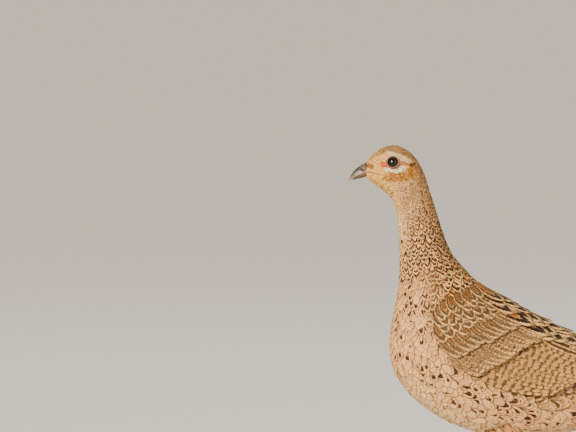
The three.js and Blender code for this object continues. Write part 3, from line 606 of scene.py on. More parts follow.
def addVanes(name, line, shape, look, material, bake, mirror=False, replaced=()):
    # line holds each feather's rows: centre, side and normal. shape holds half widths and how they bend.
    centre, side, normal = line["centre"], line["side"], line["normal"]
    count, rows = centre.shape[:2]
    stops, across = shape["stops"], shape["across"]
    reach = np.where(across < 0, shape["inner"][..., None], shape["outer"][..., None]) * across
    rise = shape["tilt"][:, None, None] * reach - shape["crown"] * reach ** 2
    rise = rise + shape["quill"] * np.exp(-(reach / 0.5) ** 2) * (1 - stops[None, :, None])
    grid = centre[:, :, None] + side[:, :, None] * reach[..., None] + normal[:, :, None] * rise[..., None]
    thick = shape["thick"] * between(1, 0.5, stops)[None, 1:-1, None, None]
    lowered = grid[:, 1:-1, 1:-1] - normal[:, 1:-1, None] * thick
    points = np.concatenate([grid.reshape(count, -1, 3), lowered.reshape(count, -1, 3)], 1)
    faces, each = vaneFaces(rows, len(across))
    if np.cross(side[0, 1], line["ahead"][0, 1]) @ normal[0, 1] > 0:
        faces = faces[:, ::-1]
    faces = faces[None] + each * np.arange(count)[:, None, None]
    onVane = np.stack(np.meshgrid(across, stops), -1)
    onVane = np.concatenate([onVane.reshape(-1, 2), onVane[1:-1, 1:-1].reshape(-1, 2)])
    spot = (onVane[None] * [0.5, 1.0] - [0, 0.5]) * bake["size"]
    places = bake["place"][:, None] + spot
    seeds = np.random.default_rng(len(name)).random(count)
    if mirror:
        points = np.concatenate([points, points * [1, -1, 1]])
        faces = np.concatenate([faces, faces[..., ::-1] + each * count])
        places = np.concatenate([places, bake["mirrorPlace"][:, None] + spot])
        seeds = np.concatenate([seeds, seeds * 0.7 + 0.1])
    faces, total = faces.reshape(-1, 4), len(points)
    mesh = bpy.data.meshes.new(name)
    mesh.vertices.add(total * each)
    movePoints(mesh, toScene(points))
    mesh.loops.add(len(faces) * 4)
    mesh.loops.foreach_set("vertex_index", faces.ravel())
    mesh.polygons.add(len(faces))
    mesh.polygons.foreach_set("loop_start", np.arange(0, len(faces) * 4, 4))
    mesh.update()

    def spread(values):
        # from one row for each feather to one for each of its points
        return np.repeat(np.tile(values, (total // len(values), 1)), each, 0)

    setAttribute(mesh, "Vane", np.concatenate([np.tile(onVane, (total, 1)), spread(seeds[:, None])], 1))
    setAttribute(mesh, "Size", spread(np.stack([shape["outer"].max(axis=1), shape["length"], look["spacing"]], -1)))
    style = look["style"]
    setAttribute(mesh, "Style", spread(np.concatenate([style, np.ones((count, 4 - style.shape[1]))], 1)))
    for i, key in enumerate(("Ground", "Centre", "Mark")):
        setAttribute(mesh, key, spread(look["colours"][:, i]))
    mesh.uv_layers.new(name="OFBake").data.foreach_set("uv", places.reshape(-1, 2)[faces.ravel()].ravel())
    finishPiece(mesh, name, material, replaced)
    print(name, total, "feathers", len(faces) * 2, "triangles")


def vaneOutline(half, stops, point):
    # narrow at the quill, full, then drawn in to the tip
    full = np.minimum(1, 0.4 + 2.2 * stops) * np.sqrt(np.maximum(1 - stops ** point, 0))
    return half[:, None] * np.maximum(full, 0.1)


def bakeAt(t, angle, size=0.003):
    right, left = (np.stack(bakePlace(np.clip(t, 0, 22.4), np.mod(turn, math.tau)), -1) for turn in (angle, -angle))
    return {"place": right, "mirrorPlace": left, "size": size}


def stripBake(start, count):
    # the long vanes have patches of their own in a strip beside the unwrap
    spots = np.stack([0.02 + 0.96 * (start + np.arange(2 * count)) / 76, np.full(2 * count, 0.9)], -1)
    return {"place": spots[:count], "mirrorPlace": spots[count:], "size": np.array([0.01, 0.14])}


def surfaceLine(surface, t, angle, heading, length, lifts, stops, steps=12):
    # feathers laid on a surface, with the height of each row over it
    path = walkOver(surface, t, angle, heading, length, steps)
    low = np.minimum((stops * steps).astype(int), steps - 1)
    part = stops * steps - low
    ts, angles = (ways[:, low] * (1 - part) + ways[:, low + 1] * part
                  for ways in (np.stack([step[k] for step in path], 1) for k in (0, 1)))
    normal = surfaceFrame(surface, ts, angles)[2]
    centre = surface(ts, angles) + normal * lifts[..., None]
    ahead = unit(np.gradient(centre, axis=1))
    side = unit(np.cross(normal, ahead))
    return dict(centre=centre, side=side, normal=unit(np.cross(ahead, side)), ahead=ahead, t=ts, angle=angles)


def scatterRoots(random, surface, start, end, rowStep, sideStep, surfaceAngles=(0, math.tau)):
    # staggered rows over the surface, thinned where the rows draw together
    ts, angles = [], []
    t, odd = start, False
    ring = np.linspace(*surfaceAngles, 72)
    turn = surfaceAngles[1] - surfaceAngles[0]
    while t < end:
        here = surface(np.full(72, t), ring)
        onward = np.linalg.norm(surface(np.full(72, t + 0.01), ring) - here, axis=-1) / 0.01
        girth = np.linalg.norm(np.diff(here, axis=0), axis=-1).sum()
        step, wide = (np.interp(t, [start, end], np.broadcast_to(steps, 2)) for steps in (rowStep, sideStep))
        count = max(int(girth / wide), 3)
        place = between(*surfaceAngles, (np.arange(count) + (0.5 if odd else 0)) / count)
        advance = step / np.percentile(onward, 85)
        keep = random.random(count) < np.clip(np.interp(place, ring, onward) * advance / step, 0, 1) ** 0.9
        ts.append((t + (random.random(count) - 0.5) * advance * 0.5)[keep])
        angles.append((place + (random.random(count) - 0.5) * 0.5 * turn / count)[keep])
        t, odd = t + advance, not odd
    return np.concatenate(ts), np.concatenate(angles)


def comingOut(stops):
    # a feather rises steeply from the skin and then lies flat
    return 1 - (1 - stops[None]) ** 1.7


faceVane = dict(rows=[0, 0.4, 0.8, 1], columns=4, material=downFeather)
neckVane = dict(rows=[0, 0.35, 0.65, 0.88, 1], columns=5, material=bodyFeather)
bodyVane = dict(rows=[0, 0.3, 0.6, 0.84, 0.95, 1], columns=6, material=bodyFeather)
coatRegions = {
    "faceFeathers": dict(faceVane, span=(-0.12, 3.2), rowStep=1.05, sideStep=1.0, length=(3.3, 4.4),
                         half=(0.6, 0.8), lift=0.12, thick=0.05, point=2.2, seed=11),
    "headFeathers": dict(faceVane, span=(3.2, 6.2), rowStep=1.35, sideStep=1.3, length=(4.4, 6.0),
                         half=(0.8, 1.3), lift=0.16, thick=0.06, point=2.4, seed=12),
    "neckFeathers": dict(neckVane, span=(6.1, 10.6), rowStep=(2.8, 4.8), sideStep=(3.3, 5.4), length=(7.6, 14.5),
                         half=(2.2, 4.6), lift=0.2, thick=0.1, point=3.4, seed=13),
    "breastFeathers": dict(bodyVane, span=(10.4, 15.0), rowStep=4.9, sideStep=4.7, length=(15, 22),
                           half=(4.6, 6.4), lift=0.15, thick=0.07, point=3.2, seed=14),
    "bodyFeathers": dict(bodyVane, span=(14.8, 21.7), rowStep=6.6, sideStep=6.0, length=(23, 27),
                         half=(6.6, 7.2), lift=0.2, thick=0.09, point=3.2, seed=15),
}


def underWing(t, angle):
    # no body feathers grow where the folded wing lies
    side = np.degrees(np.abs(np.angle(np.exp(1j * angle))))
    lower = np.interp(t, [12.6, 13.4, 15, 17, 18.5, 20.5, 21.5], [68, 80, 84, 82, 74, 58, 50])
    return (t > 12.8) & (t < 21.0) & (side > np.interp(t, [12.6, 14, 18, 21], [38, 30, 26, 30])) & (side < lower)


for name, region in coatRegions.items():
    random = np.random.default_rng(region["seed"])
    t, angle = scatterRoots(random, bodySurface, *region["span"], region["rowStep"], region["sideStep"])
    stops = np.array(region["rows"])
    u = np.clip((t - region["span"][0]) / np.diff(region["span"]), 0, 1)
    count = len(t)
    length = between(*region["length"], u) * (0.9 + 0.2 * random.random(count))
    half = between(*region["half"], u) * (0.92 + 0.16 * random.random(count))
    heading = np.radians(random.normal(0, 7, count))
    root = -depthAt(t)[:, None] * 0.85
    tips = region["lift"] * (0.5 + 1.0 * random.random((count, 1)))
    line = surfaceLine(bodySurface, t, angle, heading, length, between(root, tips, comingOut(stops)), stops)
    clear = ~underWing(t, angle) & (line["t"][:, -1] < 22.9)
    for points in np.moveaxis(line["centre"], 1, 0):
        nearEye = (np.hypot(*faceOffsets(points)) < 5.7) & (np.abs(points[:, 1]) > 4)
        clear &= ~nearEye & (np.minimum(*bareReach(points)) >= 1)
    t, angle, length, half = t[clear], angle[clear], length[clear], half[clear]
    line = {key: values[clear] for key, values in line.items()}
    count = len(t)
    # a feather shows near its tip, so it takes the colours of a place on the way there
    seen = (between(line[key][:, -1], rooted, 0.4) for key, rooted in (("t", t), ("angle", angle)))
    colours, style = regionLook(*seen, random.random(count))
    colours = colours * (0.84 + 0.28 * random.random((count, 1, 1)))
    width = vaneOutline(half, stops, region["point"]) * (1 + random.normal(0, 0.05, (count, len(stops))))
    shape = dict(stops=stops, across=np.linspace(-1, 1, region["columns"]), inner=width, outer=width, length=length,
                 tilt=random.normal(0, 0.05, count), crown=0.1 / region["half"][1], quill=0, thick=region["thick"])
    look = dict(colours=colours, style=style, spacing=np.full(count, 3.5))
    addVanes(name, line, shape, look, region["material"], bakeAt(t, angle))
print("coat of head, neck and body grown")

# Thighs: skin and feathers of one side, and their mirror images
thighCoat = {"span": (0.12, 0.95), "rowStep": 4.6, "sideStep": 4.2, "length": (15, 9), "half": (4.6, 3.0), "depth": 1.5,
             "skinFrom": 0.3}


def placeThigh(u, v):
    t, angle = between(thighCoat["skinFrom"], 1.0, u), v * math.tau
    return thighSurface(t, angle) - surfaceFrame(thighSurface, t, angle)[2] * thighCoat["depth"]


thighMesh = wrappedSheet("thighSkin", 40, 36, placeThigh, lambda u, v: (0.7 + 0.12 * u, 0.81 + 0.005 * v))
paintEvenly(thighMesh, plumage["belly"][0])
finishPair(thighMesh, "thighSkin", birdSkin, ["thigh_{}"])

random = np.random.default_rng(21)
t, angle = scatterRoots(random, thighSurface, *thighCoat["span"], thighCoat["rowStep"], thighCoat["sideStep"])
count = len(t)
stops = np.array([0, 0.35, 0.65, 0.88, 1])
length = between(*thighCoat["length"], t) * (0.9 + 0.2 * random.random(count))
lifts = between(-thighCoat["depth"] * 0.8, 0.4, comingOut(stops)) * np.ones((count, 1))
line = surfaceLine(thighSurface, t, angle, np.radians(random.normal(0, 6, count)), length, lifts, stops)
width = vaneOutline(between(*thighCoat["half"], t), stops, 4.0)
shape = dict(stops=stops, across=np.linspace(-1, 1, 5), inner=width, outer=width, length=length,
             tilt=random.normal(0, 0.05, count), crown=0.03, quill=0, thick=0.16)
colours = layered(varied(evenly("flank", count), random, 0.2), ("belly", smoothStep(0.35, 0.8, t)))
look = dict(colours=colours, spacing=np.full(count, 3.5),
            style=np.stack([between(0.7, 0.15, t), between(0.6, 0.2, t), 0 * t], -1))
addVanes("thighFeathers", line, shape, look, bodyFeather, bakeAt(20 + t, angle), True)

# Wings. Each tier runs from its lowest feather to its highest, as in the folded wing.
wingTiers = {
    "primaries": dict(count=6, t=(16.3, 16.5), angle=(90, 58), heading=(-11, -6), length=(106, 128), half=7,
                      lift=1.6, rise=1.2, stack=0.66, point=3.5, region="primary", style=(0.1, 0.1, 0.8), bars=7.5),
    "secondaries": dict(count=12, t=(15.2, 15.7), angle=(93, 38), heading=(-7, 1), length=(84, 92), half=8,
                        lift=2.6, rise=2.4, stack=0.48, point=6, region="secondary", style=(0.3, 0.6, 0.85), bars=7.0),
    "tertials": dict(count=4, t=(15.7, 15.9), angle=(32, 17), heading=(3, 5), length=(90, 80), half=9,
                     lift=3, rise=7.4, stack=0.4, point=5, region="scapular", style=(0.9, 0.8, 0.35), bars=5.0),
    "greaterCoverts": dict(count=13, t=(14.1, 14.5), angle=(95, 31), heading=(-5, 2), length=(40, 45), half=7.4,
                           lift=2.4, rise=3.4, stack=0.14, point=6, region="covert", style=(0.6, 0.95, 0.85), bars=3.2),
    "medianCoverts": dict(count=12, t=(13.4, 13.8), angle=(93, 31), heading=(-3, 2), length=(30, 33), half=7,
                          lift=2.3, rise=3.2, stack=0.08, point=5, region="covert", style=(0.8, 1.0, 0.7), bars=3.0),
}
# what the long vanes and the coverts have each: rows, how loosely they lie, places across and the quill's height
longVane = dict(rows=17, loose=1, across=np.array([-1, -0.9, -0.5, -0.12, 0, 0.12, 0.5, 0.9, 1]), quill=0.3)
covertVane = dict(rows=9, loose=3, across=np.linspace(-1, 1, 7), quill=0.1)
stripPlace = 0
for name, tier in wingTiers.items():
    vane = covertVane if name.endswith("Coverts") else longVane
    count = tier["count"]
    random = np.random.default_rng(31 + count)
    u = np.arange(count) / (count - 1)
    t, angle = between(*tier["t"], u), np.radians(between(*tier["angle"], u))
    ends = bodySurface(t[[0, -1]], angle[[0, -1]])
    spacing = np.linalg.norm(ends[0] - ends[1]) / (count - 1)
    stops = np.linspace(0, 1, vane["rows"]) ** 0.85
    length = between(*tier["length"], u) * (1 + random.normal(0, 0.012 * vane["loose"], count))
    heading = np.radians(between(*tier["heading"], u) + random.normal(0, 0.5 * vane["loose"], count))
    lifts = tier["lift"] + stops[None] * (tier["rise"] + tier["stack"] * np.arange(count))[:, None]
    line = surfaceLine(bodySurface, t, angle, heading, length, lifts, stops)
    width = vaneOutline(np.full(count, tier["half"]), stops, tier["point"])
    outer = width * (1 + random.normal(0, 0.02, width.shape))
    shape = dict(stops=stops, across=vane["across"], inner=width, outer=outer, length=length,
                 tilt=np.full(count, 0.6 / spacing), crown=0.012, quill=vane["quill"], thick=0.28)
    look = dict(colours=varied(evenly(tier["region"], count), random, 0.14), style=np.tile(tier["style"], (count, 1)),
                spacing=tier["bars"] * (0.7 + 0.6 * random.random(count)))
    bake = stripBake(stripPlace, count) if vane is longVane else bakeAt(t, angle)
    stripPlace += 2 * count if vane is longVane else 0
    replaced = ["wing_left", "wing_right"] if name == "primaries" else ()
    addVanes(name, line, shape, look, flightFeather, bake, True, replaced)

# the small coverts of the wrist and the feathers of the shoulder, in rows
shoulderRows = {
    "lesserCoverts": dict(span=(12.1, 13.5), angles=(24, 96), rowStep=5.2, sideStep=6.0, length=(17, 24),
                          half=(5.2, 6.6), lift=1.6, rise=2.4, region="covert", style=(0.9, 1.0, 0.4), seed=41),
    "scapulars": dict(span=(12.3, 15.7), angles=(9, 33), rowStep=8.5, sideStep=7.6, length=(34, 56),
                      half=(7.4, 9.2), lift=2.6, rise=5.4, region="scapular", style=(1.0, 0.95, 0.2), seed=42),
}
for name, rows in shoulderRows.items():
    random = np.random.default_rng(rows["seed"])
    t, angle = scatterRoots(random, bodySurface, *rows["span"], rows["rowStep"], rows["sideStep"],
                            np.radians(rows["angles"]))
    count = len(t)
    stops = np.linspace(0, 1, 8) ** 0.85
    u = np.clip((t - rows["span"][0]) / np.diff(rows["span"]), 0, 1)
    length = between(*rows["length"], u) * (0.94 + 0.12 * random.random(count))
    heading = np.radians(between(-2, 5, np.clip((1.6 - angle) / 1.4, 0, 1)) + random.normal(0, 3, count))
    rise = rows["rise"] * (0.9 + 0.2 * random.random((count, 1)))
    lifts = rows["lift"] * smoothStep(-0.3, 0.6, u)[:, None] + stops[None] * rise
    line = surfaceLine(bodySurface, t, angle, heading, length, lifts, stops)
    width = vaneOutline(between(*rows["half"], u), stops, 4.5)
    shape = dict(stops=stops, across=np.linspace(-1, 1, 7), inner=width, outer=width, length=length,
                 tilt=random.normal(0.04, 0.03, count), crown=0.016, quill=0.12, thick=0.24)
    look = dict(colours=varied(evenly(rows["region"], count), random, 0.2), style=np.tile(rows["style"], (count, 1)),
                spacing=np.full(count, 2.6))
    addVanes(name, line, shape, look, bodyFeather, bakeAt(t, angle), True)

wingArm = {"t": (13.2, 17.4), "top": 36, "low": (80, 92), "over": 0.3, "swell": 1.6, "under": -0.6}


def placeWingArm(u, v):
    # the arm under the coverts: over its face one way and back underneath
    t, over = between(*wingArm["t"], u), np.where(v < 0.5, 2 * v, 2 - 2 * v)
    angle = np.radians(between(wingArm["top"], between(*wingArm["low"], smoothStep(0, 0.3, u)), over))
    swell = smoothStep(-0.08, 0.16, u) * (1 - smoothStep(0.62, 1, u)) * np.sin(math.pi * over) ** 0.5
    lift = np.where(v < 0.5, wingArm["over"] + wingArm["swell"] * swell, wingArm["under"])
    return bodySurface(t, angle) + surfaceFrame(bodySurface, t, angle)[2] * lift[:, None]


armMesh = wrappedSheet("wingArm", 40, 40, placeWingArm, lambda u, v: (0.5 + 0.1 * u, 0.81 + 0.005 * v))
paintEvenly(armMesh, plumage["covert"][1])
finishPair(armMesh, "wingArm", birdSkin)
print("wings folded")

# Tail: a fleshy root, nine pairs of long feathers and the coverts over and under them
tailShape = {"root": (156, 0, 171.5), "slope": math.radians(20), "droop": 0.00014, "roof": 0.2, "layer": 0.95,
             "lengths": np.array([217, 207, 190, 170, 150, 131, 114, 99, 86.0]), "middleHalf": 11.3}
slope = tailShape["slope"]
tailAhead, tailUp = np.array([math.cos(slope), 0, -math.sin(slope)]), np.array([math.sin(slope), 0, math.cos(slope)])


def tailPoint(reach, y, height):
    lowered = height - tailShape["droop"] * reach ** 2
    return (np.array(tailShape["root"]) + tailAhead * reach[..., None] + tailUp * lowered[..., None]
            + np.array([0, 1, 0]) * y[..., None])


# reach along the tail, middle height, half width and half height of the base under the coverts
rumpRings = np.array([[-14, -0.6, 15.6, 10.6], [0, -2.4, 14.6, 9.6], [9, -3.6, 15, 8.9], [22, -4.6, 16, 8.4],
                      [36, -4.7, 15.8, 7.6], [50, -4.7, 15, 6.9], [66, -4.7, 14, 6.3], [85, -4.7, 12.5, 5.7]])


def rumpSurface(t, angle):
    t, angle = paired(t, angle)
    reach, middle, width, height = np.moveaxis(splineRows(rumpRings, t), -1, 0)
    return tailPoint(reach, width * np.sin(angle), middle + height * np.cos(angle))


def placeRump(u, v):
    t, angle = u * 4.4, v * math.tau
    return rumpSurface(t, angle) - surfaceFrame(rumpSurface, t, angle)[2] * between(2.6, 4.5, u)[:, None]


rumpMesh = wrappedSheet("tailRoot", 40, 48, placeRump, lambda u, v: (0.85 + 0.1 * u, 0.81 + 0.005 * v))
paintEvenly(rumpMesh, plumage["vent"][0])
finishPiece(rumpMesh, "tailRoot", birdSkin, ["tail"])

random = np.random.default_rng(51)
pair = np.arange(9)
stops = np.linspace(0, 1, 33) ** 0.9
splay = np.radians(0.8 + 1.5 * pair)[:, None]
reach = (14 - 0.5 * pair)[:, None] + stops * tailShape["lengths"][:, None] * np.cos(splay)
y = (1.2 + 1.2 * pair)[:, None] + stops * tailShape["lengths"][:, None] * np.sin(splay)
height = -tailShape["layer"] * pair[:, None] - 0.4 - tailShape["roof"] * y
across = np.array([-1, -0.92, -0.55, -0.1, 0, 0.1, 0.55, 0.92, 1])
# of the middle pair the left feather lies over the right one
for name, chosen, level in (("middleTailRight", [0], 0.05), ("middleTailLeft", [0], 0.95),
                            ("sideTail", list(range(1, 9)), None)):
    middle, count = level is not None, len(chosen)
    point = (2.6 + 0.25 * pair)[chosen][:, None]
    outline = np.minimum(1, 0.4 + 2.4 * stops) * np.sqrt(np.maximum(1 - stops ** point, 0))
    outline = outline * (1 + random.normal(0, 0.012, outline.shape))
    outer = np.maximum(np.where(middle, tailShape["middleHalf"], 8.5 - 0.2 * pair[chosen][:, None]) * outline, 0.25)
    inner = np.maximum(tailShape["middleHalf"] * outline, 0.25)
    inner = inner if middle else np.minimum(inner, np.maximum(y[chosen] - 0.3, 0.25))
    centre = tailPoint(reach[chosen], y[chosen] * (-1 if name == "middleTailLeft" else 1),
                       np.full_like(reach[chosen], level) if middle else height[chosen])
    line = dict(centre=centre, side=np.broadcast_to([0.0, 1.0, 0.0], centre.shape),
                normal=np.broadcast_to(tailUp, centre.shape), ahead=unit(np.gradient(centre, axis=1)))
    shape = dict(stops=stops, across=across, inner=inner, outer=outer, length=tailShape["lengths"][chosen],
                 tilt=np.full(count, 0 if middle else -tailShape["roof"]), crown=0.004 if middle else 0.001,
                 quill=0.4, thick=0.35)
    look = dict(colours=varied(evenly("tail", count), random, 0.1), style=np.tile((0.1, 0.0, 0.95), (count, 1)),
                spacing=np.full(count, 11.0))
    addVanes(name, line, shape, look, flightFeather, stripBake(stripPlace, count), not middle)
    stripPlace += count * (1 if middle else 2)

tailCoverts = {"span": (0.0, 3.6), "rowStep": 6.2, "sideStep": 6.0, "length": (24, 40), "half": (6.4, 5.8)}
random = np.random.default_rng(52)
t, angle = scatterRoots(random, rumpSurface, *tailCoverts["span"], tailCoverts["rowStep"], tailCoverts["sideStep"])
count, u = len(t), np.clip(t / tailCoverts["span"][1], 0, 1)
stops = np.linspace(0, 1, 8) ** 0.85
length = between(*tailCoverts["length"], u) * (0.9 + 0.2 * random.random(count))
lifts = -2.0 + (2.6 + 0.6 * random.random((count, 1))) * comingOut(stops)
line = surfaceLine(rumpSurface, t, angle, np.radians(random.normal(0, 3, count)), length, lifts, stops)
width = vaneOutline(between(*tailCoverts["half"], u), stops, 4.0)
shape = dict(stops=stops, across=np.linspace(-1, 1, 7), inner=width, outer=width, length=length,
             tilt=random.normal(0, 0.04, count), crown=0.02, quill=0.08, thick=0.22)
under = smoothStep(-0.1, -0.5, np.cos(angle))
look = dict(colours=varied(layered(evenly("rump", count), ("vent", under)), random, 0.2), spacing=np.full(count, 4.0),
            style=np.stack([np.full(count, 0.5), np.full(count, 0.6), between(0.55, 0.25, under)], -1))
addVanes("tailCoverts", line, shape, look, bodyFeather, bakeAt(22.1 + 0.05 * t, angle))
print("tail spread")


def tubeAlong(points, radius, flatten=1.0, side=(0, 1, 0)):
    # a limb along a smooth line; v = 0 is its rear or underside
    fine = splineRows(points, np.linspace(0, len(points) - 1, 240))
    far = np.concatenate([[0], np.cumsum(np.linalg.norm(np.diff(fine, axis=0), axis=-1))])
    onward = unit(np.gradient(fine, axis=0))

    def place(u, v):
        centre, ahead = (np.stack([np.interp(u * far[-1], far, rows[:, k]) for k in range(3)], -1)
                         for rows in (fine, onward))
        ahead = unit(ahead)
        across = unit(np.cross(ahead, np.cross(np.array(side, float), ahead)))
        up = np.cross(ahead, across)
        r, turn = radius(u, v), v * math.tau
        return centre + across * (r * np.sin(turn))[:, None] + up * (r * flatten * np.cos(turn))[:, None]

    return place


def joinMeshes(name, meshes):
    form = bmesh.new()
    for mesh in meshes:
        form.from_mesh(mesh)
    return meshFrom(form, name)


# Bill: ridge, cutting edge and half width of each ring, as in the CAD source. The scale over the nostril and
# the slit under it are places on the side: middle, half sizes and lean.
billShape = {
    "upper": [[-112.2, 380.3, -113.4, 370.4, 5.9], [-116.6, 377.6, -117.6, 368.8, 5.2],
              [-120.9, 375.1, -120.9, 367.5, 4.3], [-124.9, 371.7, -124.3, 365.9, 3.2],
              [-127.9, 367.4, -127.2, 364.1, 2.1], [-129.6, 364.3, -129.1, 362.7, 1.1],
              [-130.4, 362.3, -130.3, 361.8, 0.3]],
    "lower": [[-113.6, 366.3, -113.4, 370.0, 5.4], [-118.0, 364.9, -117.6, 368.4, 4.5],
              [-121.6, 364.2, -120.9, 367.1, 3.4], [-124.7, 363.4, -124.3, 365.4, 2.2],
              [-126.7, 363.2, -126.5, 363.8, 0.8]],
    "scale": (-116.6, 375.0, 3.9, 2.3, -35), "scaleHeight": 1.0,
    "slit": (-117.6, 372.3, 2.4, 0.55, -25), "slitDepth": 0.9, "lip": 0.16, "outside": 0.72,
}
# the slit's near black is painted shade in the nostril's opening
billColours = {"dark": "#3c2f29", "pale": "#7f5f46", "scale": "#66493a", "slit": "#2a1c15",
               "tip": "#8c7153", "gape": "#6e4a35"}


def onBill(points, part):
    return ellipse(points[:, 0], points[:, 2], *billShape[part])


def placeBill(rings, nostril):
    def place(u, v):
        # v runs round the outside first, then back over the flat inside
        ridgeX, ridgeZ, edgeX, edgeZ, half = splineRows(rings, u * (len(rings) - 1)).T
        outside = v <= billShape["outside"]
        arch = math.pi * (np.clip(v / billShape["outside"], 0, 1) - 0.5)
        inside = np.clip((v - billShape["outside"]) / (1 - billShape["outside"]), 0, 1)
        up = np.where(outside, np.cos(arch), 0.25 * np.sin(math.pi * inside))
        out = np.where(outside, np.sin(arch), 1 - 2 * inside)
        points = np.stack([edgeX + (ridgeX - edgeX) * up, half * out, edgeZ + (ridgeZ - edgeZ) * up], -1)
        outward = unit(np.stack([np.zeros_like(out), out * 1.3, up * np.sign(ridgeZ - edgeZ)], -1))
        # the cutting edge stands out as a thin lip
        push = billShape["lip"] * np.exp(-((np.abs(out) - 1) / 0.04) ** 2)
        if nostril:
            scale, slit = smoothStep(1.15, 0.35, onBill(points, "scale")), smoothStep(1.3, 0.4, onBill(points, "slit"))
            push = push + billShape["scaleHeight"] * scale * (np.abs(out) > 0.3)
            push = push - billShape["slitDepth"] * slit * (np.abs(out) > 0.5)
        return points + outward * (push * outside)[:, None]

    return place


def paintBill(mesh, rings):
    # dark along the ridge, paler towards the cutting edge and the tip; the slit under the nostril's scale is painted
    # near black, as painted shade in its opening
    points = cadPoints(mesh)
    rings = np.array(rings)[::-1]
    ridge, edge = (np.interp(points[:, 0], rings[:, k], rings[:, k + 1]) for k in (0, 2))
    colours = linear(billColours["dark"])
    for part, amount in (("pale", smoothStep(0.62, 0.18, (points[:, 2] - edge) / (ridge - edge))),
                         ("scale", smoothStep(1.15, 0.8, onBill(points, "scale"))),
                         ("slit", smoothStep(1.2, 0.7, onBill(points, "slit"))),
                         ("tip", smoothStep(-125.5, -130, points[:, 0])), ("gape", points[:, 0] > -112.4)):
        colours = between(colours, linear(billColours[part]), amount[:, None])
    setAttribute(mesh, "Ground", colours)


gapeT, gapeAngle = np.linspace(-0.05, 1.75, 7), np.full(7, math.radians(107.5))
gapeLine = bodySurface(gapeT, gapeAngle) - surfaceFrame(bodySurface, gapeT, gapeAngle)[2] * 0.25
gapeMesh = wrappedSheet("gape", 40, 16, tubeAlong(gapeLine, lambda u, v: 0.62 * np.sqrt(np.clip(1 - u ** 3, 0.02, 1))))
gapeTwin = gapeMesh.copy()
mirrorPoints(gapeTwin)
upperMesh = wrappedSheet("upperBill", 90, 90, placeBill(billShape["upper"], True))
lowerMesh = wrappedSheet("lowerBill", 50, 60, placeBill(billShape["lower"], False))
for part, mesh in (("upper", joinMeshes("upperBill", [upperMesh, gapeMesh, gapeTwin])), ("lower", lowerMesh)):
    paintBill(mesh, billShape[part])
    finishPiece(mesh, part + "Bill", billHorn, ["bill_" + part])
print("bill made")

# Eyes and lids
eyeShape = {"radius": 6.15, "corneaReach": 4.3, "corneaRise": 0.35,
            "lidReach": 4.75, "lidRadius": 5.2, "lidWidth": 0.72, "lidHeight": 0.6}
eyeSide = unit(np.cross([0.0, 0.0, 1.0], gaze))
eyeTop = np.cross(gaze, eyeSide)
eyeForm = bmesh.new()
bmesh.ops.create_uvsphere(eyeForm, u_segments=56, v_segments=40, radius=eyeShape["radius"])
eyeMesh = meshFrom(eyeForm, "eye")
x, y, z = readPoints(eyeMesh).T
aside = np.hypot(x, y)
bulge = eyeShape["corneaRise"] * np.clip(1 - (aside / eyeShape["corneaReach"]) ** 2, 0, 1) * (z > 0)
movePoints(eyeMesh, toScene(eyeCentre + np.outer(x, eyeSide) + np.outer(y, eyeTop) + np.outer(z + bulge, gaze)))
setAttribute(eyeMesh, "Vane", np.stack([np.where(z > 0, aside, 9), x, y], -1))
finishPair(eyeMesh, "eye", wetEye, ["eye_{}"])


def placeLid(u, v):
    # an almond opening: drawn out at its front and rear corners
    around, turn = v * math.tau, u * math.tau
    almond = 1 + 0.07 * np.cos(2 * (around + 0.15)) + 0.03 * np.cos(4 * around)
    folds = 1 + 0.09 * np.cos(7 * turn) + 0.05 * np.cos(46 * around) * np.cos(turn)
    far = eyeShape["lidRadius"] * almond - eyeShape["lidWidth"] * folds * np.cos(turn)
    rise = eyeShape["lidReach"] + eyeShape["lidHeight"] * folds * np.sin(turn)
    return (eyeCentre + np.outer(far * np.cos(around), eyeSide) + np.outer(far * np.sin(around), eyeTop)
            + np.outer(rise, gaze))


lidMesh = wrappedSheet("lid", 36, 140, placeLid)
lidFar = cadPoints(lidMesh) - eyeCentre
lidFar = np.linalg.norm(lidFar - np.outer(lidFar @ gaze, gaze), axis=-1)
setAttribute(lidMesh, "Ground", between(bareSkin["lidEdge"], bareSkin["lid"], smoothStep(4.7, 5.3, lidFar)[:, None]))
finishPair(lidMesh, "lid", birdSkin)
print("eyes and lids made")

# Legs: scales in overlapping plates down the front of the shank and over the toes. Each toe has its turn
# and its length.
legLook = {"plates": 25, "plateLift": 0.42, "toePlate": 2.9, "toePlateLift": 0.22, "claw": 9.0,
           "leg": linear("#938677"), "claws": linear("#4c3f35")}
toes = {"inner": (30, 27), "middle": (-3, 37), "outer": (-36, 28)}
legDown = unit(ankle - heel)
legEnd = heel + legDown * ((heel[2] - 9) / -legDown[2])
shankLine = np.array([heel + thighUp * 12, heel + thighUp * 4.5, heel + legDown * 2 - thighUp * 0.5,
                      heel + legDown * 10, heel + (legEnd - heel) * 0.6, legEnd])


def shankRadius(u, v):
    turn = v * math.tau
    front = smoothStep(-0.1, 0.55, -np.cos(turn))
    plate = np.mod(u * legLook["plates"] + 0.5 * (np.sin(turn) > 0), 1)
    knuckle = 1.5 * np.exp(-((u - 0.3) / 0.13) ** 2)
    seam = 0.22 * np.exp(-(np.sin(turn) / 0.09) ** 2) * front
    plates = front * smoothStep(0.3, 0.4, u) * (legLook["plateLift"] * plate ** 1.5 - seam)
    return 3.2 + knuckle + 0.6 * smoothStep(0.82, 1, u) + plates


def toeEnd(u):
    return np.sqrt(np.clip(1.02 - u ** 14, 0.02, 1))


def placePad(u, v):
    turn, lift = v * math.tau, (u - 0.5) * math.pi
    flatDisc = np.stack([7 * np.cos(lift) * np.cos(turn), 6 * np.cos(lift) * np.sin(turn), 4.4 * np.sin(lift)], -1)
    bumps = 1 + 0.02 * np.cos(9 * turn) * np.cos(9 * lift)
    return np.array([ankle[0] - 1, ankle[1], 3.9]) + flatDisc * bumps[:, None]


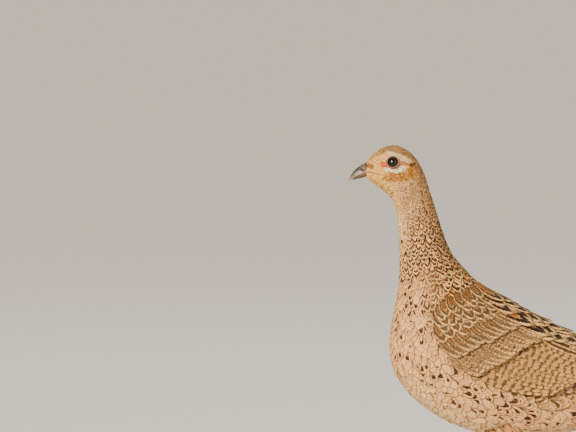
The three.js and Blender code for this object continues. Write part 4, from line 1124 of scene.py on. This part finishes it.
legMeshes = [wrappedSheet("shank", 230, 40, tubeAlong(shankLine, shankRadius, 1.12))]
clawMeshes = []
for turn, length in toes.values():
    ahead = np.array([-math.cos(math.radians(turn)), -math.sin(math.radians(turn)), 0])
    sideways = (-ahead[1], ahead[0], 0)

    def toeRadius(u, v):
        top = smoothStep(0.1, 0.7, -np.cos(v * math.tau))
        pads = 0.3 * np.cos(u * 6 * math.pi) * smoothStep(0.5, -0.5, -np.cos(v * math.tau))
        plate = legLook["toePlateLift"] * np.mod(u * length / legLook["toePlate"], 1) ** 1.5
        return (between(3.6, 2.0, u) + pads + top * plate) * toeEnd(u)

    start = length - 1.2
    toeLine, clawLine = ([np.array([ankle[0], ankle[1], z]) + ahead * reach for reach, z in places] for places in (
        [(-2, 5), (6, 4), (length * 0.6, 2.7), (length + 0.6, 2.15)],
        [(start, 2.3), (start + 4.5, 2.7), (start + 8, 2.0), (start + legLook["claw"] + 1.5, 0.9)]))
    legMeshes.append(wrappedSheet("toe", 100, 28, tubeAlong(toeLine, toeRadius, 1.0, sideways)))
    clawMeshes.append(wrappedSheet("claw", 30, 20, tubeAlong(
        clawLine, lambda u, v: between(1.6, 0.3, u ** 1.2), 1.15, sideways)))
hindLine = np.array([[1, -1.5, 10.5], [7, -3, 9.4], [13.4, -4, 6.4]]) + [ankle[0], ankle[1], 0]
hindAhead = unit(hindLine[2] - hindLine[1])
hindTip = hindLine[2]
hindClaw = [hindTip - hindAhead, hindTip + hindAhead * 3 - [0, 0, 0.1], hindTip + hindAhead * 6.2 - [0, 0, 1]]
legMeshes.append(wrappedSheet("hindToe", 60, 24, tubeAlong(
    hindLine, lambda u, v: (between(2.4, 1.7, u) + 0.15 * np.mod(u * 5, 1)) * toeEnd(u))))
clawMeshes.append(wrappedSheet("claw", 24, 20, tubeAlong(hindClaw, lambda u, v: between(1.35, 0.3, u), 1.1)))
legMeshes.append(wrappedSheet("pad", 24, 40, placePad))
for name, meshes, material, slot, nodes in (
        ("leg", legMeshes, legSkin, "leg_skin", ["shank_{}", "foot_{}"]),
        ("claws", clawMeshes, clawHorn, "claw", ["claw_{}_inner", "claw_{}_middle", "claw_{}_outer", "claw_{}_hind"])):
    whole = joinMeshes(name, meshes)
    # nothing goes below the flat sole
    movePoints(whole, np.maximum(readPoints(whole), [-1, -1, 0.00005]))
    paintEvenly(whole, legLook[name])
    finishPair(whole, name, material, nodes)
print("legs, feet and claws made")

# Camera and light: the long lens of the photograph, level with the bird's shoulder
view = {"centre": (-185.8, 0, 329.7), "width": 530, "lens": 500, "elevation": 5}
camera = bpy.data.objects.new("camera", bpy.data.cameras.new("camera"))
bpy.context.scene.collection.objects.link(camera)
bpy.context.scene.camera = camera
camera.data.lens = view["lens"]
camera.data.clip_end = 100
target = Vector(toScene(view["centre"]))
distance = view["width"] / 1000 * view["lens"] / camera.data.sensor_width
lean = math.radians(view["elevation"])
camera.location = target + Vector((0, -math.cos(lean), math.sin(lean))) * distance
camera.rotation_euler = (target - camera.location).to_track_quat("-Z", "Y").to_euler()

studio = {
    "key": {"kind": "SUN", "place": (-1.7, -2.1, 1.35), "angle": 0.1, "energy": 6.0, "color": (1.0, 0.89, 0.72)},
    "fill": {"kind": "AREA", "place": (1.6, -1.6, 1.2), "size": 2.0, "energy": 20, "color": (0.95, 0.97, 1.0)},
    "top": {"kind": "AREA", "place": (0.2, 0.9, 2.2), "size": 2.0, "energy": 26, "color": (1.0, 0.98, 0.95)},
}
for name, lamp in studio.items():
    light = bpy.data.lights.new(name, lamp.pop("kind"))
    holder = bpy.data.objects.new(name, light)
    bpy.context.scene.collection.objects.link(holder)
    holder.location = lamp.pop("place")
    holder.rotation_euler = (Vector((-0.1, 0, 0.22)) - holder.location).to_track_quat("-Z", "Y").to_euler()
    for key, value in lamp.items():
        setattr(light, key, value)

world = bpy.data.worlds.new("studio")
world.use_nodes = True
world.node_tree.nodes["Background"].inputs["Color"].default_value = (0.9, 0.88, 0.84, 1)
world.node_tree.nodes["Background"].inputs["Strength"].default_value = 0.36
bpy.context.scene.world = world

floorForm = bmesh.new()
bmesh.ops.create_grid(floorForm, x_segments=1, y_segments=1, size=25)
floor = bpy.data.objects.new("studioFloor", meshFrom(floorForm, "studioFloor"))
floor.data.materials.append(newMaterial("matPaperFloor", [], {"Base Color": linear("#dcdad4"), "Roughness": 0.9}))
bpy.context.scene.collection.objects.link(floor)
print("camera, lights and floor set")
